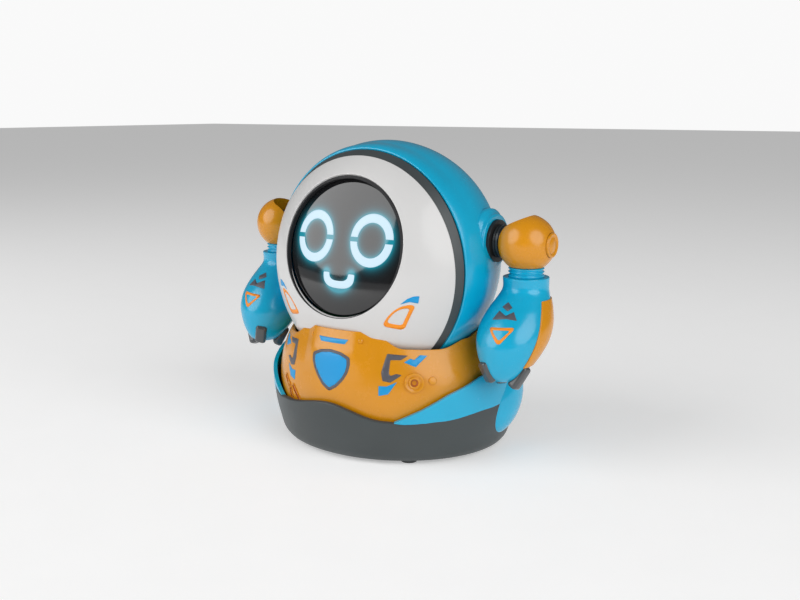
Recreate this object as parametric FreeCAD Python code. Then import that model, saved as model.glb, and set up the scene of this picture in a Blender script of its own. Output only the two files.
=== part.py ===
import FreeCAD, Part
import math
import os

# Educational coding robot: a desk-top two-wheeled robot with a round screen face.
# Millimetres. +Z is up, the robot faces -Y and +X is its left-hand side.
# The origin is on the table, midway between the two shoulders and under them.

V = FreeCAD.Vector
X_AXIS, Y_AXIS, Z_AXIS = V(1, 0, 0), V(0, 1, 0), V(0, 0, 1)
os.makedirs("parts", exist_ok=True)

# ---------------------------------------------------------------- driving sizes
# overall
SHOULDER_X = 68.4           # centre of the robot to the centre of a shoulder ball
SHOULDER_Z = 95.4
HEAD_RADIUS = 55.3          # round section of the head
HEAD_FRONT = 42.6           # middle of the head to its front pole
HEAD_REAR = 50.0            # middle of the head to its back pole
HEAD_Y = -8.3
HEAD_Z = 84.5
HEAD_TILT = 7.3             # degrees, the face looks up by this much
BASE_HALF_X = 59.4          # base tub at its rim
BASE_HALF_Y = 53.5
SKIRT_Z = 1.6               # ground clearance of the tub

# walls and clearances
HEAD_WALL = 2.2
BELLY_WALL = 2.0
TUB_WALL = 2.2
FENDER_WALL = 1.8
ARM_WALL = 1.8
FIT = 0.1                   # between shells of the same body
RUN = 0.3                   # between bodies that move past each other
SHAFT_RUN = 0.05            # radial, a shaft turning in its bore

# face
SEAM_Y = -26.8              # back edge of the white shell
RING_WIDTH = 4.2            # dark ring between the two head shells
RING_SINK = 0.5
SCREEN_DEPTH = 31.7         # middle of the head to the flat middle of the screen
SCREEN_Z = 92.6
SCREEN_RADIUS = 31.4        # opening in the white shell
LENS_RADIUS = 30.2
LENS_SINK = 3.0             # lens surface below the shell surface
LENS_WALL = 2.0
EYE_X = 15.0
EYE_RISE = 3.8              # eyes above the middle of the screen
EYE_OUTER = 11.0
EYE_INNER = 7.6
EYE_SPLIT = 1.6
MOUTH_DROP = 11.0           # middle of the screen to the mouth's corners
MOUTH_HALF = 8.2
MOUTH_DEPTH = 6.6
MOUTH_THICK = 2.8
BOARD_THICK = 1.6

# belly
CHIN_HALF = 15.5            # half of the raised front collar's straight top
CHIN_FOOT = 30.0            # where its slopes reach the rim
CHIN_RISE = 6.4
SCREW_BOSS = (43.4, 37.4, 4.2)      # degrees from the front, height, radius
SMALL_BOSS = (52.0, 38.0, 1.8)
POD_HALF = (10.5, 13.0, 21.0)       # half sizes of a tail pod before it leans
POD_LEAN = -24.0
POD_CENTRE = (52.0, 6.5, 24.0)

# shoulders
BOSS_RADIUS = 11.7
BOSS_FACE_X = 55.0
BOSS_FLARE = 2.2            # how much wider the boss is where it leaves the head
BOSS_LIP = 1.0              # straight stretch before the flare
BUSH_OUTER = 9.2
BUSH_LENGTH = 8.4
SHAFT_RADIUS = 6.3          # journal in the bush
COLLAR_RADIUS = 7.25        # ribbed collar outside the head
COLLAR_GAP = 0.4
SHAFT_NECK = 4.5
CLIP_RADIUS = 8.6
BALL_RADIUS = 12.5
BALL_BORE = 8.3             # radius of the hollow in the ball
HUB_RADIUS = 6.6
PIN_RADIUS = 1.6
RAISE_ANGLE = 65.0          # how far the slot lets an arm swing out
CAP_RADIUS = 5.3
CAP_THICK = 1.3
BALL_FLAT = 9.8             # ball centre to its flat underside

# forearm
NECK_RADIUS = 7.75
NECK_HEIGHT = 4.2
STEM_RADIUS = 2.5
STEM_HEAD = 4.0
STEM_HEAD_THICK = 0.9
ARM_TOP_RADIUS = 10.0
ARM_BULGE = 15.0
ARM_LENGTH = 42.0           # underside of the neck to the tip of the forearm
PANEL_PROUD = 0.6
PANEL_WALL = 1.1
PANEL_TOP = 72.5
PANEL_BOTTOM = 45.5
PANEL_TURN = -22.0          # front edge of the panel, degrees from straight out
GROOVE_TURN = 62.0          # shallow upright groove, degrees from the panel's front edge
GROOVE_OUT = 18.2
CLAW_RADIUS = 2.5

# drive
WHEEL_RADIUS = 13.0
TYRE_THICK = 2.0
WHEEL_X = 38.0
WHEEL_WIDTH = 9.0
AXLE_RADIUS = 1.5
AXLE_INNER_X = 21.0
GEAR_MODULE = 0.5
GEAR_TEETH = 30
PINION_TEETH = 10
GEAR_X = 28.4
GEAR_WIDTH = 3.6
BACKLASH = 0.12
MOTOR_LENGTH = 20.0
MOTOR_Y_SIZE = 10.0
MOTOR_Z_SIZE = 12.0
MOTOR_SHAFT_RADIUS = 0.75
BLOCK_X = 22.0              # bearing block that carries axle and motor
BLOCK_LENGTH = 5.6

# chassis, battery, electronics
CHASSIS_Z = 5.8
CHASSIS_THICK = 2.0
CELL_RADIUS = 5.25          # AAA cells
CELL_LENGTH = 44.5
CELL_PITCH = 10.7
CELL_FIRST_Y = -13.2
CELL_COUNT = 3
TRAY_WALL = 1.2
BOARD_Z = 30.0
SPEAKER_RADIUS = 14.0
SPEAKER_DEPTH = 5.0
FOOT_RADIUS = 3.5
SCREW_RADIUS = 1.2
SCREW_HEAD = 2.3
SWITCH_X = 14.0
SWITCH_Y = 31.0
SWITCH_TRAVEL = 3.0

AXLE_Z = WHEEL_RADIUS
GEAR_CENTRES = GEAR_MODULE * (GEAR_TEETH + PINION_TEETH) / 2
MOTOR_Y = GEAR_CENTRES
FLOOR_Z = SKIRT_Z + TUB_WALL
SLOT_CLEAR = 1.2            # room around a wheel in the floor


# ---------------------------------------------------------------- small tools
def save(name, shape):
    """One STEP file for one sub-part."""
    shape.exportStep("parts/" + name + ".step")


def save_pair(name, shape):
    """A left-hand part and its mirror image on the other side."""
    save(name + "_left", shape)
    save(name + "_right", mirrored(shape))


def mirrored(shape):
    return shape.mirror(V(0, 0, 0), X_AXIS)


def box(low, high):
    """A block from its lowest corner to its highest."""
    return Part.makeBox(high[0] - low[0], high[1] - low[1], high[2] - low[2], V(*low))


def rod(radius, start, end):
    """A round bar between two points."""
    start, end = V(*start), V(*end)
    return Part.makeCylinder(radius, (end - start).Length, start, end - start)


def tube(outer, inner, start, end):
    return rod(outer, start, end).cut(rod(inner, start, end))


def join(shapes):
    """Fuse a list of solids into one."""
    return shapes[0].multiFuse(shapes[1:]).removeSplitter()


def oval(z, half_x, front, rear, cx=0.0, cy=0.0, points=24):
    """A closed smooth outline at height z, deeper to the front or to the rear."""
    ring = []
    for i in range(points):
        turn = 2 * math.pi * i / points
        depth = front if math.sin(turn) < 0 else rear
        ring.append(V(cx + half_x * math.cos(turn), cy + depth * math.sin(turn), z))
    curve = Part.BSplineCurve()
    curve.interpolate(Points=ring, PeriodicFlag=True)
    return Part.Wire([curve.toShape()])


def stack(sections):
    """A smooth solid through a pile of ovals."""
    return Part.makeLoft([oval(*s) for s in sections], True, False, False, 3)


def above(height, reach=78.0, cells=26, top=120.0):
    """Everything above the wavy surface z = height(x, y)."""
    step = 2 * reach / cells
    grid = []
    for i in range(cells + 1):
        x = -reach + i * step
        grid.append([V(x, -reach + j * step, height(x, -reach + j * step)) for j in range(cells + 1)])
    surface = Part.BSplineSurface()
    surface.interpolate(grid)
    return surface.toShape().extrude(V(0, 0, top))


def smooth(value, low, high):
    """0 below low, 1 above high, an S-curve between."""
    t = min(1.0, max(0.0, (value - low) / (high - low)))
    return t * t * (3 - 2 * t)


def curve_through(table, value):
    """Smooth height between the points of a short table."""
    if value <= table[0][0]:
        return table[0][1]
    for (v0, h0), (v1, h1) in zip(table, table[1:]):
        if value <= v1:
            return h0 + (h1 - h0) * smooth(value, v0, v1)
    return table[-1][1]


def from_front(x, y):
    """Degrees round the body, 0 at the front and 180 at the back."""
    return math.degrees(math.atan2(abs(x), -y)) if (x or y) else 90.0


def screw(head_at, tip_at):
    """A pan-head screw from under its head to its tip."""
    a, b = V(*head_at), V(*tip_at)
    along = (b - a).normalize()
    head = Part.makeCylinder(SCREW_HEAD, 1.4, a - along * 1.4, along)
    drive = box((-0.35, -1.4, -0.4), (0.35, 1.4, 0.4))
    drive = drive.fuse(box((-1.4, -0.35, -0.4), (1.4, 0.35, 0.4)))
    drive.Placement = FreeCAD.Placement(a - along * 1.4, FreeCAD.Rotation(Z_AXIS, along))
    return head.fuse(Part.makeCylinder(SCREW_RADIUS, (b - a).Length, a, along)).cut(drive)


# ---------------------------------------------------------------- body outlines
def head_form(inset=0.0, points=13):
    """The whole head: an egg of revolution about an axis that tips up at the front."""
    radius, front, rear = HEAD_RADIUS - inset, HEAD_FRONT - inset, HEAD_REAR - inset
    turns = [math.pi / 2 * i / (points - 1) for i in range(points)]
    outline = [V(0, -front * math.cos(t), radius * math.sin(t)) for t in turns]
    outline += [V(0, rear * math.cos(t), radius * math.sin(t)) for t in reversed(turns[:-1])]
    curve = Part.BSplineCurve()
    curve.interpolate(Points=outline, InitialTangent=Z_AXIS, FinalTangent=-Z_AXIS)
    axis_line = Part.makeLine(V(0, rear, 0), V(0, -front, 0))
    form = Part.Face(Part.Wire([curve.toShape(), axis_line])).revolve(V(0, 0, 0), Y_AXIS, 360)
    form.rotate(V(0, 0, 0), X_AXIS, -HEAD_TILT)
    form.translate(V(0, HEAD_Y, HEAD_Z))
    return form


def belly_form(grow=0.0):
    """The bowl under the head: widest low down, drawn in where it meets the head."""
    profile = [(12.0, 54.0, 48.4, 48.2), (21.0, 55.5, 50.4, 50.0), (31.0, 56.0, 50.9, 50.0),
               (38.5, 54.8, 50.1, 48.0), (44.0, 53.0, 49.0, 45.0), (48.5, 50.8, 47.7, 41.8),
               (52.5, 48.2, 46.4, 38.6), (57.5, 45.8, 44.9, 35.8), (64.0, 43.6, 43.0, 33.4),
               (70.0, 42.0, 41.0, 32.0)]
    return stack([(z, x + grow, front + grow, rear + grow) for z, x, front, rear in profile])


def tub_form(grow=0.0, low=SKIRT_Z):
    """The skirt of the base: walls lean in towards the ground."""
    profile = [(0.0, 0.895), (2.4, 0.928), (8.0, 0.957), (14.0, 0.982), (21.0, 1.0), (31.0, 1.012)]
    return stack([(low + z, BASE_HALF_X * k + grow, BASE_HALF_Y * k + grow, BASE_HALF_Y * k + grow)
                  for z, k in profile])


def rim_height(x, y):
    """Top edge of the tub: a crest in front, a dip beside it, then rising to the back."""
    table = [(0, 26.6), (30, 20.8), (43, 18.9), (74, 23.0), (100, 25.4), (180, 27.0)]
    flat = 1 - smooth(math.hypot(x, y), 10, 35)
    return curve_through(table, from_front(x, y)) * (1 - flat) + 24.0 * flat


def collar_height(x, y):
    """Top edge of the belly shell: dips beside the chin and rises to the back."""
    side = [(-45, 51.6), (-26, 50.6), (-12, 53.3), (4, 57.0), (22, 58.5), (45, 58.0)]
    chin = (1 - smooth(abs(x), CHIN_HALF, CHIN_FOOT)) * (1 - smooth(y, -38, -28))
    return curve_through(side, y) + CHIN_RISE * chin


def fender_height(x, y):
    """Top edge of a side fender: climbs from a point at the front."""
    table = [(26, 16.5), (33, 21.2), (50, 30.6), (69, 37.9), (92, 40.5), (125, 41.0), (180, 30.0)]
    flat = 1 - smooth(math.hypot(x, y), 10, 35)
    angle = from_front(x, y)
    for (a0, h0), (a1, h1) in zip(table, table[1:]):
        if a0 <= angle <= a1:
            height = h0 + (h1 - h0) * (angle - a0) / (a1 - a0)
            break
    else:
        height = table[0][1]
    return height * (1 - flat) + 35.0 * flat


HEAD = head_form()
HEAD_INSIDE = head_form(HEAD_WALL)
BELLY = belly_form()
TUB = tub_form()
ABOVE_RIM = above(rim_height)
ABOVE_COLLAR = above(collar_height)
ABOVE_FENDER = above(fender_height)
BIG = 200.0
SCREEN_AXIS = V(0, -math.cos(math.radians(HEAD_TILT)), math.sin(math.radians(HEAD_TILT)))
SCREEN_UP = V(0, math.sin(math.radians(HEAD_TILT)), math.cos(math.radians(HEAD_TILT)))
SCREEN_CENTRE = V(0, HEAD_Y - SCREEN_DEPTH, SCREEN_Z)


def behind(y):
    """Everything behind a plane across the head."""
    return box((-BIG, y, -BIG), (BIG, BIG, BIG))


def in_front(y):
    return box((-BIG, -BIG, -BIG), (BIG, y, BIG))


def face_bar(radius, start=-30.0, end=40.0, right=0.0, up=0.0):
    """A round bar square to the screen; start and end are measured towards the viewer."""
    centre = SCREEN_CENTRE + SCREEN_UP * up + X_AXIS * right
    return Part.makeCylinder(radius, end - start, centre + SCREEN_AXIS * start, SCREEN_AXIS)


def pod_form(grow=0.0):
    """The upright rounded lobe behind each wheel arch."""
    ball = Part.makeSphere(1.0)
    shape = FreeCAD.Matrix()
    shape.scale(V(*[half + grow for half in POD_HALF]))
    lobe = ball.transformGeometry(shape)
    lobe.rotate(V(0, 0, 0), X_AXIS, POD_LEAN)
    lobe.translate(V(*POD_CENTRE))
    return lobe


# ---------------------------------------------------------------- head shells
def shoulder_boss():
    """Round boss on the side of the head that the arm's shaft leaves through."""
    root, flare, face = BOSS_FACE_X - BUSH_LENGTH, BOSS_FACE_X - BOSS_LIP - BOSS_FLARE, BOSS_FACE_X
    profile = [(root, 0), (root, BOSS_RADIUS + BOSS_FLARE), (flare, BOSS_RADIUS + BOSS_FLARE),
               (face - BOSS_LIP, BOSS_RADIUS), (face, BOSS_RADIUS), (face, 0), (root, 0)]
    outline = Part.makePolygon([V(x, 0, SHOULDER_Z + radius) for x, radius in profile])
    return Part.Face(outline).revolve(V(0, 0, SHOULDER_Z), X_AXIS, 360)


BUSH_HOLE = rod(BUSH_OUTER + 0.02, (BOSS_FACE_X - BUSH_LENGTH - 1, 0, SHOULDER_Z),
                (BOSS_FACE_X + 1, 0, SHOULDER_Z))

rear_shell = HEAD.cut(HEAD_INSIDE).common(behind(SEAM_Y + RING_WIDTH))
rear_shell = join([rear_shell, shoulder_boss(), mirrored(shoulder_boss())])
rear_shell = rear_shell.cut(BUSH_HOLE).cut(mirrored(BUSH_HOLE))
save("rear_shell", rear_shell)

ring_band = head_form(RING_SINK).cut(head_form(HEAD_WALL + 1.0))
seam_ring = ring_band.common(in_front(SEAM_Y + RING_WIDTH - FIT)).common(behind(SEAM_Y + FIT))
save("seam_ring", seam_ring)

face_shell = HEAD.cut(HEAD_INSIDE).common(in_front(SEAM_Y))
face_shell = face_shell.cut(face_bar(SCREEN_RADIUS))
save("face_shell", face_shell)

# ---------------------------------------------------------------- screen
lens = head_form(LENS_SINK).cut(head_form(LENS_SINK + LENS_WALL)).common(face_bar(LENS_RADIUS))
lens = lens.common(in_front(HEAD_Y))


def half_ring(right, upper):
    """One half of a round eye, cut from a ring by the gap between the halves."""
    ring = face_bar(EYE_OUTER, right=right, up=EYE_RISE).cut(face_bar(EYE_INNER, right=right, up=EYE_RISE))
    middle = SCREEN_CENTRE + SCREEN_UP * EYE_RISE + X_AXIS * right
    keep = Part.makeBox(2 * BIG, 2 * BIG, BIG, V(-BIG, -BIG, EYE_SPLIT / 2))
    if not upper:
        keep.rotate(V(0, 0, 0), Y_AXIS, 180)
    keep.rotate(V(0, 0, 0), X_AXIS, -HEAD_TILT)
    keep.translate(middle)
    return ring.common(keep)


def mouth_bar():
    """A smile: round at both corners and deepest in the middle."""
    outer = Part.BSplineCurve()
    outer.interpolate([V(-MOUTH_HALF, 0, 0), V(-MOUTH_HALF * 0.72, 0, -MOUTH_DEPTH * 0.72),
                       V(0, 0, -MOUTH_DEPTH), V(MOUTH_HALF * 0.72, 0, -MOUTH_DEPTH * 0.72),
                       V(MOUTH_HALF, 0, 0)])
    inner = Part.BSplineCurve()
    tip = MOUTH_THICK * 0.55
    hollow = MOUTH_DEPTH - MOUTH_THICK
    inner.interpolate([V(MOUTH_HALF - tip, 0, 0), V(MOUTH_HALF * 0.5, 0, -hollow * 0.85), V(0, 0, -hollow),
                       V(-MOUTH_HALF * 0.5, 0, -hollow * 0.85), V(-MOUTH_HALF + tip, 0, 0)])
    ends = []
    for a, b in ((V(MOUTH_HALF, 0, 0), V(MOUTH_HALF - tip, 0, 0)),
                 (V(-MOUTH_HALF + tip, 0, 0), V(-MOUTH_HALF, 0, 0))):
        ends.append(Part.Arc(a, V((a.x + b.x) / 2, 0, tip / 2), b).toShape())
    outline = Part.Wire([outer.toShape(), ends[0], inner.toShape(), ends[1]])
    bar = Part.Face(outline).extrude(V(0, -70, 0))
    bar.rotate(V(0, 0, 0), X_AXIS, -HEAD_TILT)
    bar.translate(SCREEN_CENTRE - SCREEN_UP * MOUTH_DROP + SCREEN_AXIS * -30)
    return bar


eye_halves = [half_ring(side * EYE_X, upper) for side in (1, -1) for upper in (True, False)]
mouth = mouth_bar()
light_layer = lens.copy()
eye_lights = Part.makeCompound([h.common(light_layer) for h in eye_halves])
mouth_light = mouth.common(light_layer)
for light in eye_halves + [mouth]:
    lens = lens.cut(light)
save("screen_lens", lens)
save("face_lights", Part.makeCompound(eye_lights.Solids + [mouth_light]))

retainer = head_form(HEAD_WALL + 0.05).cut(head_form(HEAD_WALL + 2.2)).common(in_front(HEAD_Y))
retainer = retainer.common(face_bar(SCREEN_RADIUS + 3.4)).cut(face_bar(LENS_RADIUS + 0.05))
posts = []
for turn in (45, 135, 225, 315):
    px = (LENS_RADIUS + 1.8) * math.cos(math.radians(turn))
    pu = (LENS_RADIUS + 1.8) * math.sin(math.radians(turn))
    posts.append(face_bar(1.7, -9.0, 3.0, px, pu))
post_zone = head_form(HEAD_WALL + 1.0)
retainer = join([retainer] + [p.common(post_zone) for p in posts])
save("lens_retainer", retainer)

display_board = face_bar(LENS_RADIUS + 4.0, -9.0 - BOARD_THICK, -9.0)
face_leds = [
    box((-1.2, -1.2, 0.02), (1.2, 1.2, 1.0)).transformed(
        FreeCAD.Placement(SCREEN_CENTRE + X_AXIS * (s * EYE_X + 9.6 * math.cos(math.radians(t)))
                          + SCREEN_UP * (EYE_RISE + 9.6 * math.sin(math.radians(t))) - SCREEN_AXIS * 9.0,
                          FreeCAD.Rotation(Z_AXIS, SCREEN_AXIS)).toMatrix())
    for s in (1, -1) for t in (60, 120, 240, 300)]
save("display_board", Part.makeCompound([display_board] + face_leds))

# ---------------------------------------------------------------- belly, fenders, tub
belly = BELLY.cut(belly_form(-BELLY_WALL)).cut(ABOVE_COLLAR)
belly = belly.cut(head_form(-FIT))
belly = belly.cut(box((-BIG, -BIG, -BIG), (BIG, BIG, 15.0)))
belly = belly.cut(pod_form(FIT)).cut(mirrored(pod_form(FIT)))
for i in range(3):
    slot = box((-62.0, -1.0, -7.0), (-30.0, 0.2, 7.0))
    slot.rotate(V(0, 0, 0), X_AXIS, -24)
    slot.translate(V(0, -31.5 - 3.0 * i, 31.0 - 2.2 * i))
    belly = belly.cut(slot)


def belly_boss(angle, z, radius, hole):
    """A small round boss on the belly, square to its surface."""
    out = V(math.sin(math.radians(angle)), -math.cos(math.radians(angle)), 0)
    start = out * 44.0 + Z_AXIS * z
    stud = Part.makeCylinder(radius, 30.0, start, out).common(belly_form(0.8)).cut(belly_form(-BELLY_WALL))
    return stud.cut(Part.makeCylinder(hole, 30.0, start, out)) if hole else stud


belly = join([belly, belly_boss(*SCREW_BOSS, SCREW_RADIUS), belly_boss(*SMALL_BOSS, 0)])
boss_turn = math.radians(SCREW_BOSS[0])
boss_out = V(math.sin(boss_turn), -math.cos(boss_turn), 0)
boss_root = boss_out * 44.0 + Z_AXIS * SCREW_BOSS[1]
belly = belly.cut(Part.makeCylinder(SCREW_RADIUS, 30.0, boss_root, boss_out))
save("belly_shell", belly)

fender = belly_form(FENDER_WALL + FIT).cut(belly_form(FIT)).cut(ABOVE_FENDER).common(ABOVE_RIM)
fender = fender.cut(box((-BIG, -BIG, 0), (12.0, BIG, BIG)))
fender = fender.common(box((0, -BIG, 0), (BIG, 36.0, 60.0))).cut(pod_form(FIT))
fender = max(fender.Solids, key=lambda s: s.Volume)
save_pair("fender", fender)

core = stack([(2.0, 50.0, 45.0, 45.0), (12.0, 52.4, 47.0, 47.0), (30.0, 54.2, 49.0, 48.2),
              (42.0, 52.0, 47.6, 45.0), (60.0, 44.0, 43.0, 38.0)])
pod = pod_form().cut(core).common(box((0, -BIG, SKIRT_Z + 1.4), (BIG, BIG, 60.0)))
save_pair("tail_pod", max(pod.Solids, key=lambda s: s.Volume))

tub = TUB.cut(tub_form(-TUB_WALL, FLOOR_Z)).cut(ABOVE_RIM)
tub = tub.cut(pod_form(FIT)).cut(mirrored(pod_form(FIT)))


def wheel_slot(bottom, top, inner_x, clear):
    """Room for a wheel in a plate."""
    half = WHEEL_RADIUS + clear
    return box((inner_x, -half, bottom), (WHEEL_X + WHEEL_WIDTH / 2 + clear, half, top))


slot = wheel_slot(0, FLOOR_Z + 1, WHEEL_X - WHEEL_WIDTH / 2 - SLOT_CLEAR, SLOT_CLEAR)
tub = tub.cut(slot).cut(mirrored(slot))
door_low = (-25.0, CELL_FIRST_Y - CELL_PITCH * (CELL_COUNT - 1) - CELL_RADIUS - 1.0)
door_high = (25.0, CELL_FIRST_Y + CELL_RADIUS + 1.0)
tub = tub.cut(box((door_low[0], door_low[1], 0), (door_high[0], door_high[1], FLOOR_Z + 0.01)))
switch_slot = box((SWITCH_X - 2.2, SWITCH_Y - 1.9, 0),
                  (SWITCH_X + 2.2 + SWITCH_TRAVEL, SWITCH_Y + 1.9, FLOOR_Z + 1))
tub = tub.cut(switch_slot)
PLATE_SCREWS = [(30.0, -22.0), (-30.0, -22.0), (26.0, 26.0), (-26.0, 26.0)]
pillars = [tube(3.0, SCREW_RADIUS, (x, y, FLOOR_Z - 0.5), (x, y, CHASSIS_Z)) for x, y in PLATE_SCREWS]
tub = join([tub] + pillars)
for x, y in PLATE_SCREWS:
    tub = tub.cut(rod(SCREW_RADIUS, (x, y, FLOOR_Z - 1.2), (x, y, CHASSIS_Z + 1)))
save("base_tub", tub)

door = box((door_low[0] + FIT, door_low[1] + FIT, SKIRT_Z),
           (door_high[0] - FIT, door_high[1] - FIT, FLOOR_Z - 0.2))
door_screw_y = door_high[1] - 4.0
door = door.cut(rod(SCREW_HEAD + 0.2, (0, door_screw_y, 0), (0, door_screw_y, SKIRT_Z + 1.0)))
door = door.cut(rod(SCREW_RADIUS + 0.1, (0, door_screw_y, 0), (0, door_screw_y, FLOOR_Z)))
save("battery_door", door)

FEET = [(30.0, -33.0), (-30.0, -33.0), (0.0, 40.0)]
save("skid_feet", Part.makeCompound([rod(FOOT_RADIUS, (x, y, 0), (x, y, SKIRT_Z)) for x, y in FEET]))

# ---------------------------------------------------------------- chassis and battery
plate = stack([(CHASSIS_Z, 49.5, 44.5, 44.5), (CHASSIS_Z + CHASSIS_THICK, 50.0, 45.0, 45.0)])
slot = wheel_slot(0, 20, BLOCK_X + BLOCK_LENGTH + 0.2, SLOT_CLEAR)
plate = plate.cut(slot).cut(mirrored(slot))
tray_low = (-CELL_LENGTH / 2 - TRAY_WALL - 1.4, door_low[1] - 0.2)
tray_high = (CELL_LENGTH / 2 + TRAY_WALL + 1.4, door_high[1] + 0.2)
plate = plate.cut(box((tray_low[0] - FIT, tray_low[1] - FIT, 0),
                      (tray_high[0] + FIT, tray_high[1] + FIT, 20)))
CHASSIS_TOP = CHASSIS_Z + CHASSIS_THICK
BOARD_POSTS = [(20.0, 24.0), (-20.0, 24.0), (20.0, 36.0), (-20.0, 36.0)]
stand = [rod(2.2, (x, y, CHASSIS_Z + 0.5), (x, y, BOARD_Z)) for x, y in BOARD_POSTS]
plate = join([plate] + stand)
plate = plate.cut(box((SWITCH_X - 6, SWITCH_Y - 4, 0),
                      (SWITCH_X + 6 + SWITCH_TRAVEL, SWITCH_Y + 4, CHASSIS_TOP + 1)))
for x, y in BOARD_POSTS:
    plate = plate.cut(rod(SCREW_RADIUS, (x, y, BOARD_Z - 8), (x, y, BOARD_Z + 1)))
for x, y in PLATE_SCREWS:
    plate = plate.cut(rod(SCREW_RADIUS + 0.1, (x, y, 0), (x, y, CHASSIS_TOP + 1)))
save("chassis_plate", plate)

tray_floor = FLOOR_Z
cell_z = tray_floor + TRAY_WALL + CELL_RADIUS + 0.1
tray = box((tray_low[0], tray_low[1], tray_floor), (tray_high[0], tray_high[1], cell_z + 2.0))
cell_y = [CELL_FIRST_Y - CELL_PITCH * i for i in range(CELL_COUNT)]
hollow = box((-CELL_LENGTH / 2 - 1.4, cell_y[-1] - CELL_RADIUS - 0.1, tray_floor + TRAY_WALL),
             (CELL_LENGTH / 2 + 1.4, cell_y[0] + CELL_RADIUS + 0.1, 40))
save("battery_tray", tray.cut(hollow).common(tub_form(-TUB_WALL - FIT, FLOOR_Z)))
cells = []
for i, y in enumerate(cell_y):
    end = CELL_LENGTH / 2
    flip = 1 if i % 2 else -1
    cell = rod(CELL_RADIUS, (-flip * end, y, cell_z), (flip * (end - 1.0), y, cell_z))
    cells.append(cell.fuse(rod(1.9, (flip * (end - 1.0), y, cell_z), (flip * end, y, cell_z))))
save("battery_cells", Part.makeCompound(cells))
contacts = []
for side in (1, -1):
    for y in cell_y:
        x0, x1 = CELL_LENGTH / 2 + 0.05, CELL_LENGTH / 2 + 1.3
        plate_low = (min(side * x0, side * x1), y - 3.5, cell_z - 4.5)
        plate_high = (max(side * x0, side * x1), y + 3.5, cell_z + 4.0)
        contacts.append(box(plate_low, plate_high))
save("battery_contacts", Part.makeCompound(contacts))

# ---------------------------------------------------------------- drive
def gear(module, teeth, x0, width, phase):
    """Involute spur gear on an X axis through the origin; phase turns a tooth to that angle."""
    pitch = module * teeth / 2
    base = pitch * math.cos(math.radians(20))
    tip, root = pitch + 0.8 * module, pitch - 1.1 * module
    half = math.pi / 2 / teeth - BACKLASH / 2 / pitch
    inv20 = math.tan(math.radians(20)) - math.radians(20)
    flank = []
    for i in range(6):
        radius = max(base, root) + (tip - max(base, root)) * i / 5
        roll = math.acos(min(1.0, base / radius))
        flank.append((radius, half + inv20 - (math.tan(roll) - roll)))
    outline = []
    for t in range(teeth):
        middle = phase + 2 * math.pi * t / teeth
        side = [(root, flank[0][1])] + flank if root < base else flank
        outline += [(r, middle - a) for r, a in side]
        outline += [(r, middle + a) for r, a in reversed(side)]
    points = [V(x0, r * math.cos(a), r * math.sin(a)) for r, a in outline]
    return Part.Face(Part.makePolygon(points + points[:1])).extrude(V(width, 0, 0))


axle = rod(AXLE_RADIUS, (AXLE_INNER_X, 0, AXLE_Z), (WHEEL_X + WHEEL_WIDTH / 2, 0, AXLE_Z))
save_pair("axle", axle)
rim_radius = WHEEL_RADIUS - TYRE_THICK
wheel_inner, wheel_outer = WHEEL_X - WHEEL_WIDTH / 2, WHEEL_X + WHEEL_WIDTH / 2
hub = rod(rim_radius, (wheel_inner, 0, AXLE_Z), (wheel_outer, 0, AXLE_Z))
hub = hub.cut(rod(rim_radius - 1.6, (WHEEL_X, 0, AXLE_Z), (WHEEL_X + WHEEL_WIDTH, 0, AXLE_Z)))
hub = hub.fuse(rod(3.4, (WHEEL_X - 1, 0, AXLE_Z), (wheel_outer, 0, AXLE_Z)))
for i in range(5):
    turn = 2 * math.pi * i / 5
    hole_y, hole_z = 6.4 * math.cos(turn), 6.4 * math.sin(turn)
    hub = hub.cut(rod(1.9, (0, hole_y, AXLE_Z + hole_z), (WHEEL_X + 20, hole_y, AXLE_Z + hole_z)))
save_pair("wheel_hub", hub.cut(axle))
save_pair("tyre", tube(WHEEL_RADIUS, rim_radius, (wheel_inner, 0, AXLE_Z), (wheel_outer, 0, AXLE_Z)))

wheel_gear = gear(GEAR_MODULE, GEAR_TEETH, GEAR_X, GEAR_WIDTH, 0.0)
wheel_gear.translate(V(0, 0, AXLE_Z))
save_pair("wheel_gear", wheel_gear.cut(axle))
pinion = gear(GEAR_MODULE, PINION_TEETH, GEAR_X, GEAR_WIDTH, math.pi + math.pi / PINION_TEETH)
pinion.translate(V(0, MOTOR_Y, AXLE_Z))
motor_shaft = rod(MOTOR_SHAFT_RADIUS, (BLOCK_X + 0.5, MOTOR_Y, AXLE_Z),
                  (GEAR_X + GEAR_WIDTH, MOTOR_Y, AXLE_Z))
save_pair("motor_pinion", pinion.fuse(motor_shaft))

motor_end = BLOCK_X + 3.0
motor = box((motor_end - MOTOR_LENGTH, MOTOR_Y - MOTOR_Y_SIZE / 2, AXLE_Z - 5.2),
            (motor_end, MOTOR_Y + MOTOR_Y_SIZE / 2, AXLE_Z - 5.2 + MOTOR_Z_SIZE))
motor = motor.makeFillet(1.5, [e for e in motor.Edges if abs(e.Vertexes[0].X - e.Vertexes[1].X) > 5])
motor = motor.cut(rod(MOTOR_SHAFT_RADIUS + SHAFT_RUN, (motor_end - 3, MOTOR_Y, AXLE_Z),
                      (motor_end + 1, MOTOR_Y, AXLE_Z)))
save_pair("motor", motor)
block = box((BLOCK_X, -5.0, CHASSIS_TOP),
            (BLOCK_X + BLOCK_LENGTH, MOTOR_Y + MOTOR_Y_SIZE / 2 + 1.6, AXLE_Z + 8.6))
block = block.cut(box((0, MOTOR_Y - MOTOR_Y_SIZE / 2 - 0.05, AXLE_Z - 5.25),
                      (motor_end + 0.05, MOTOR_Y + MOTOR_Y_SIZE / 2 + 0.05, AXLE_Z - 5.15 + MOTOR_Z_SIZE)))
block = block.cut(rod(AXLE_RADIUS + SHAFT_RUN, (0, 0, AXLE_Z), (60, 0, AXLE_Z)))
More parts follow.
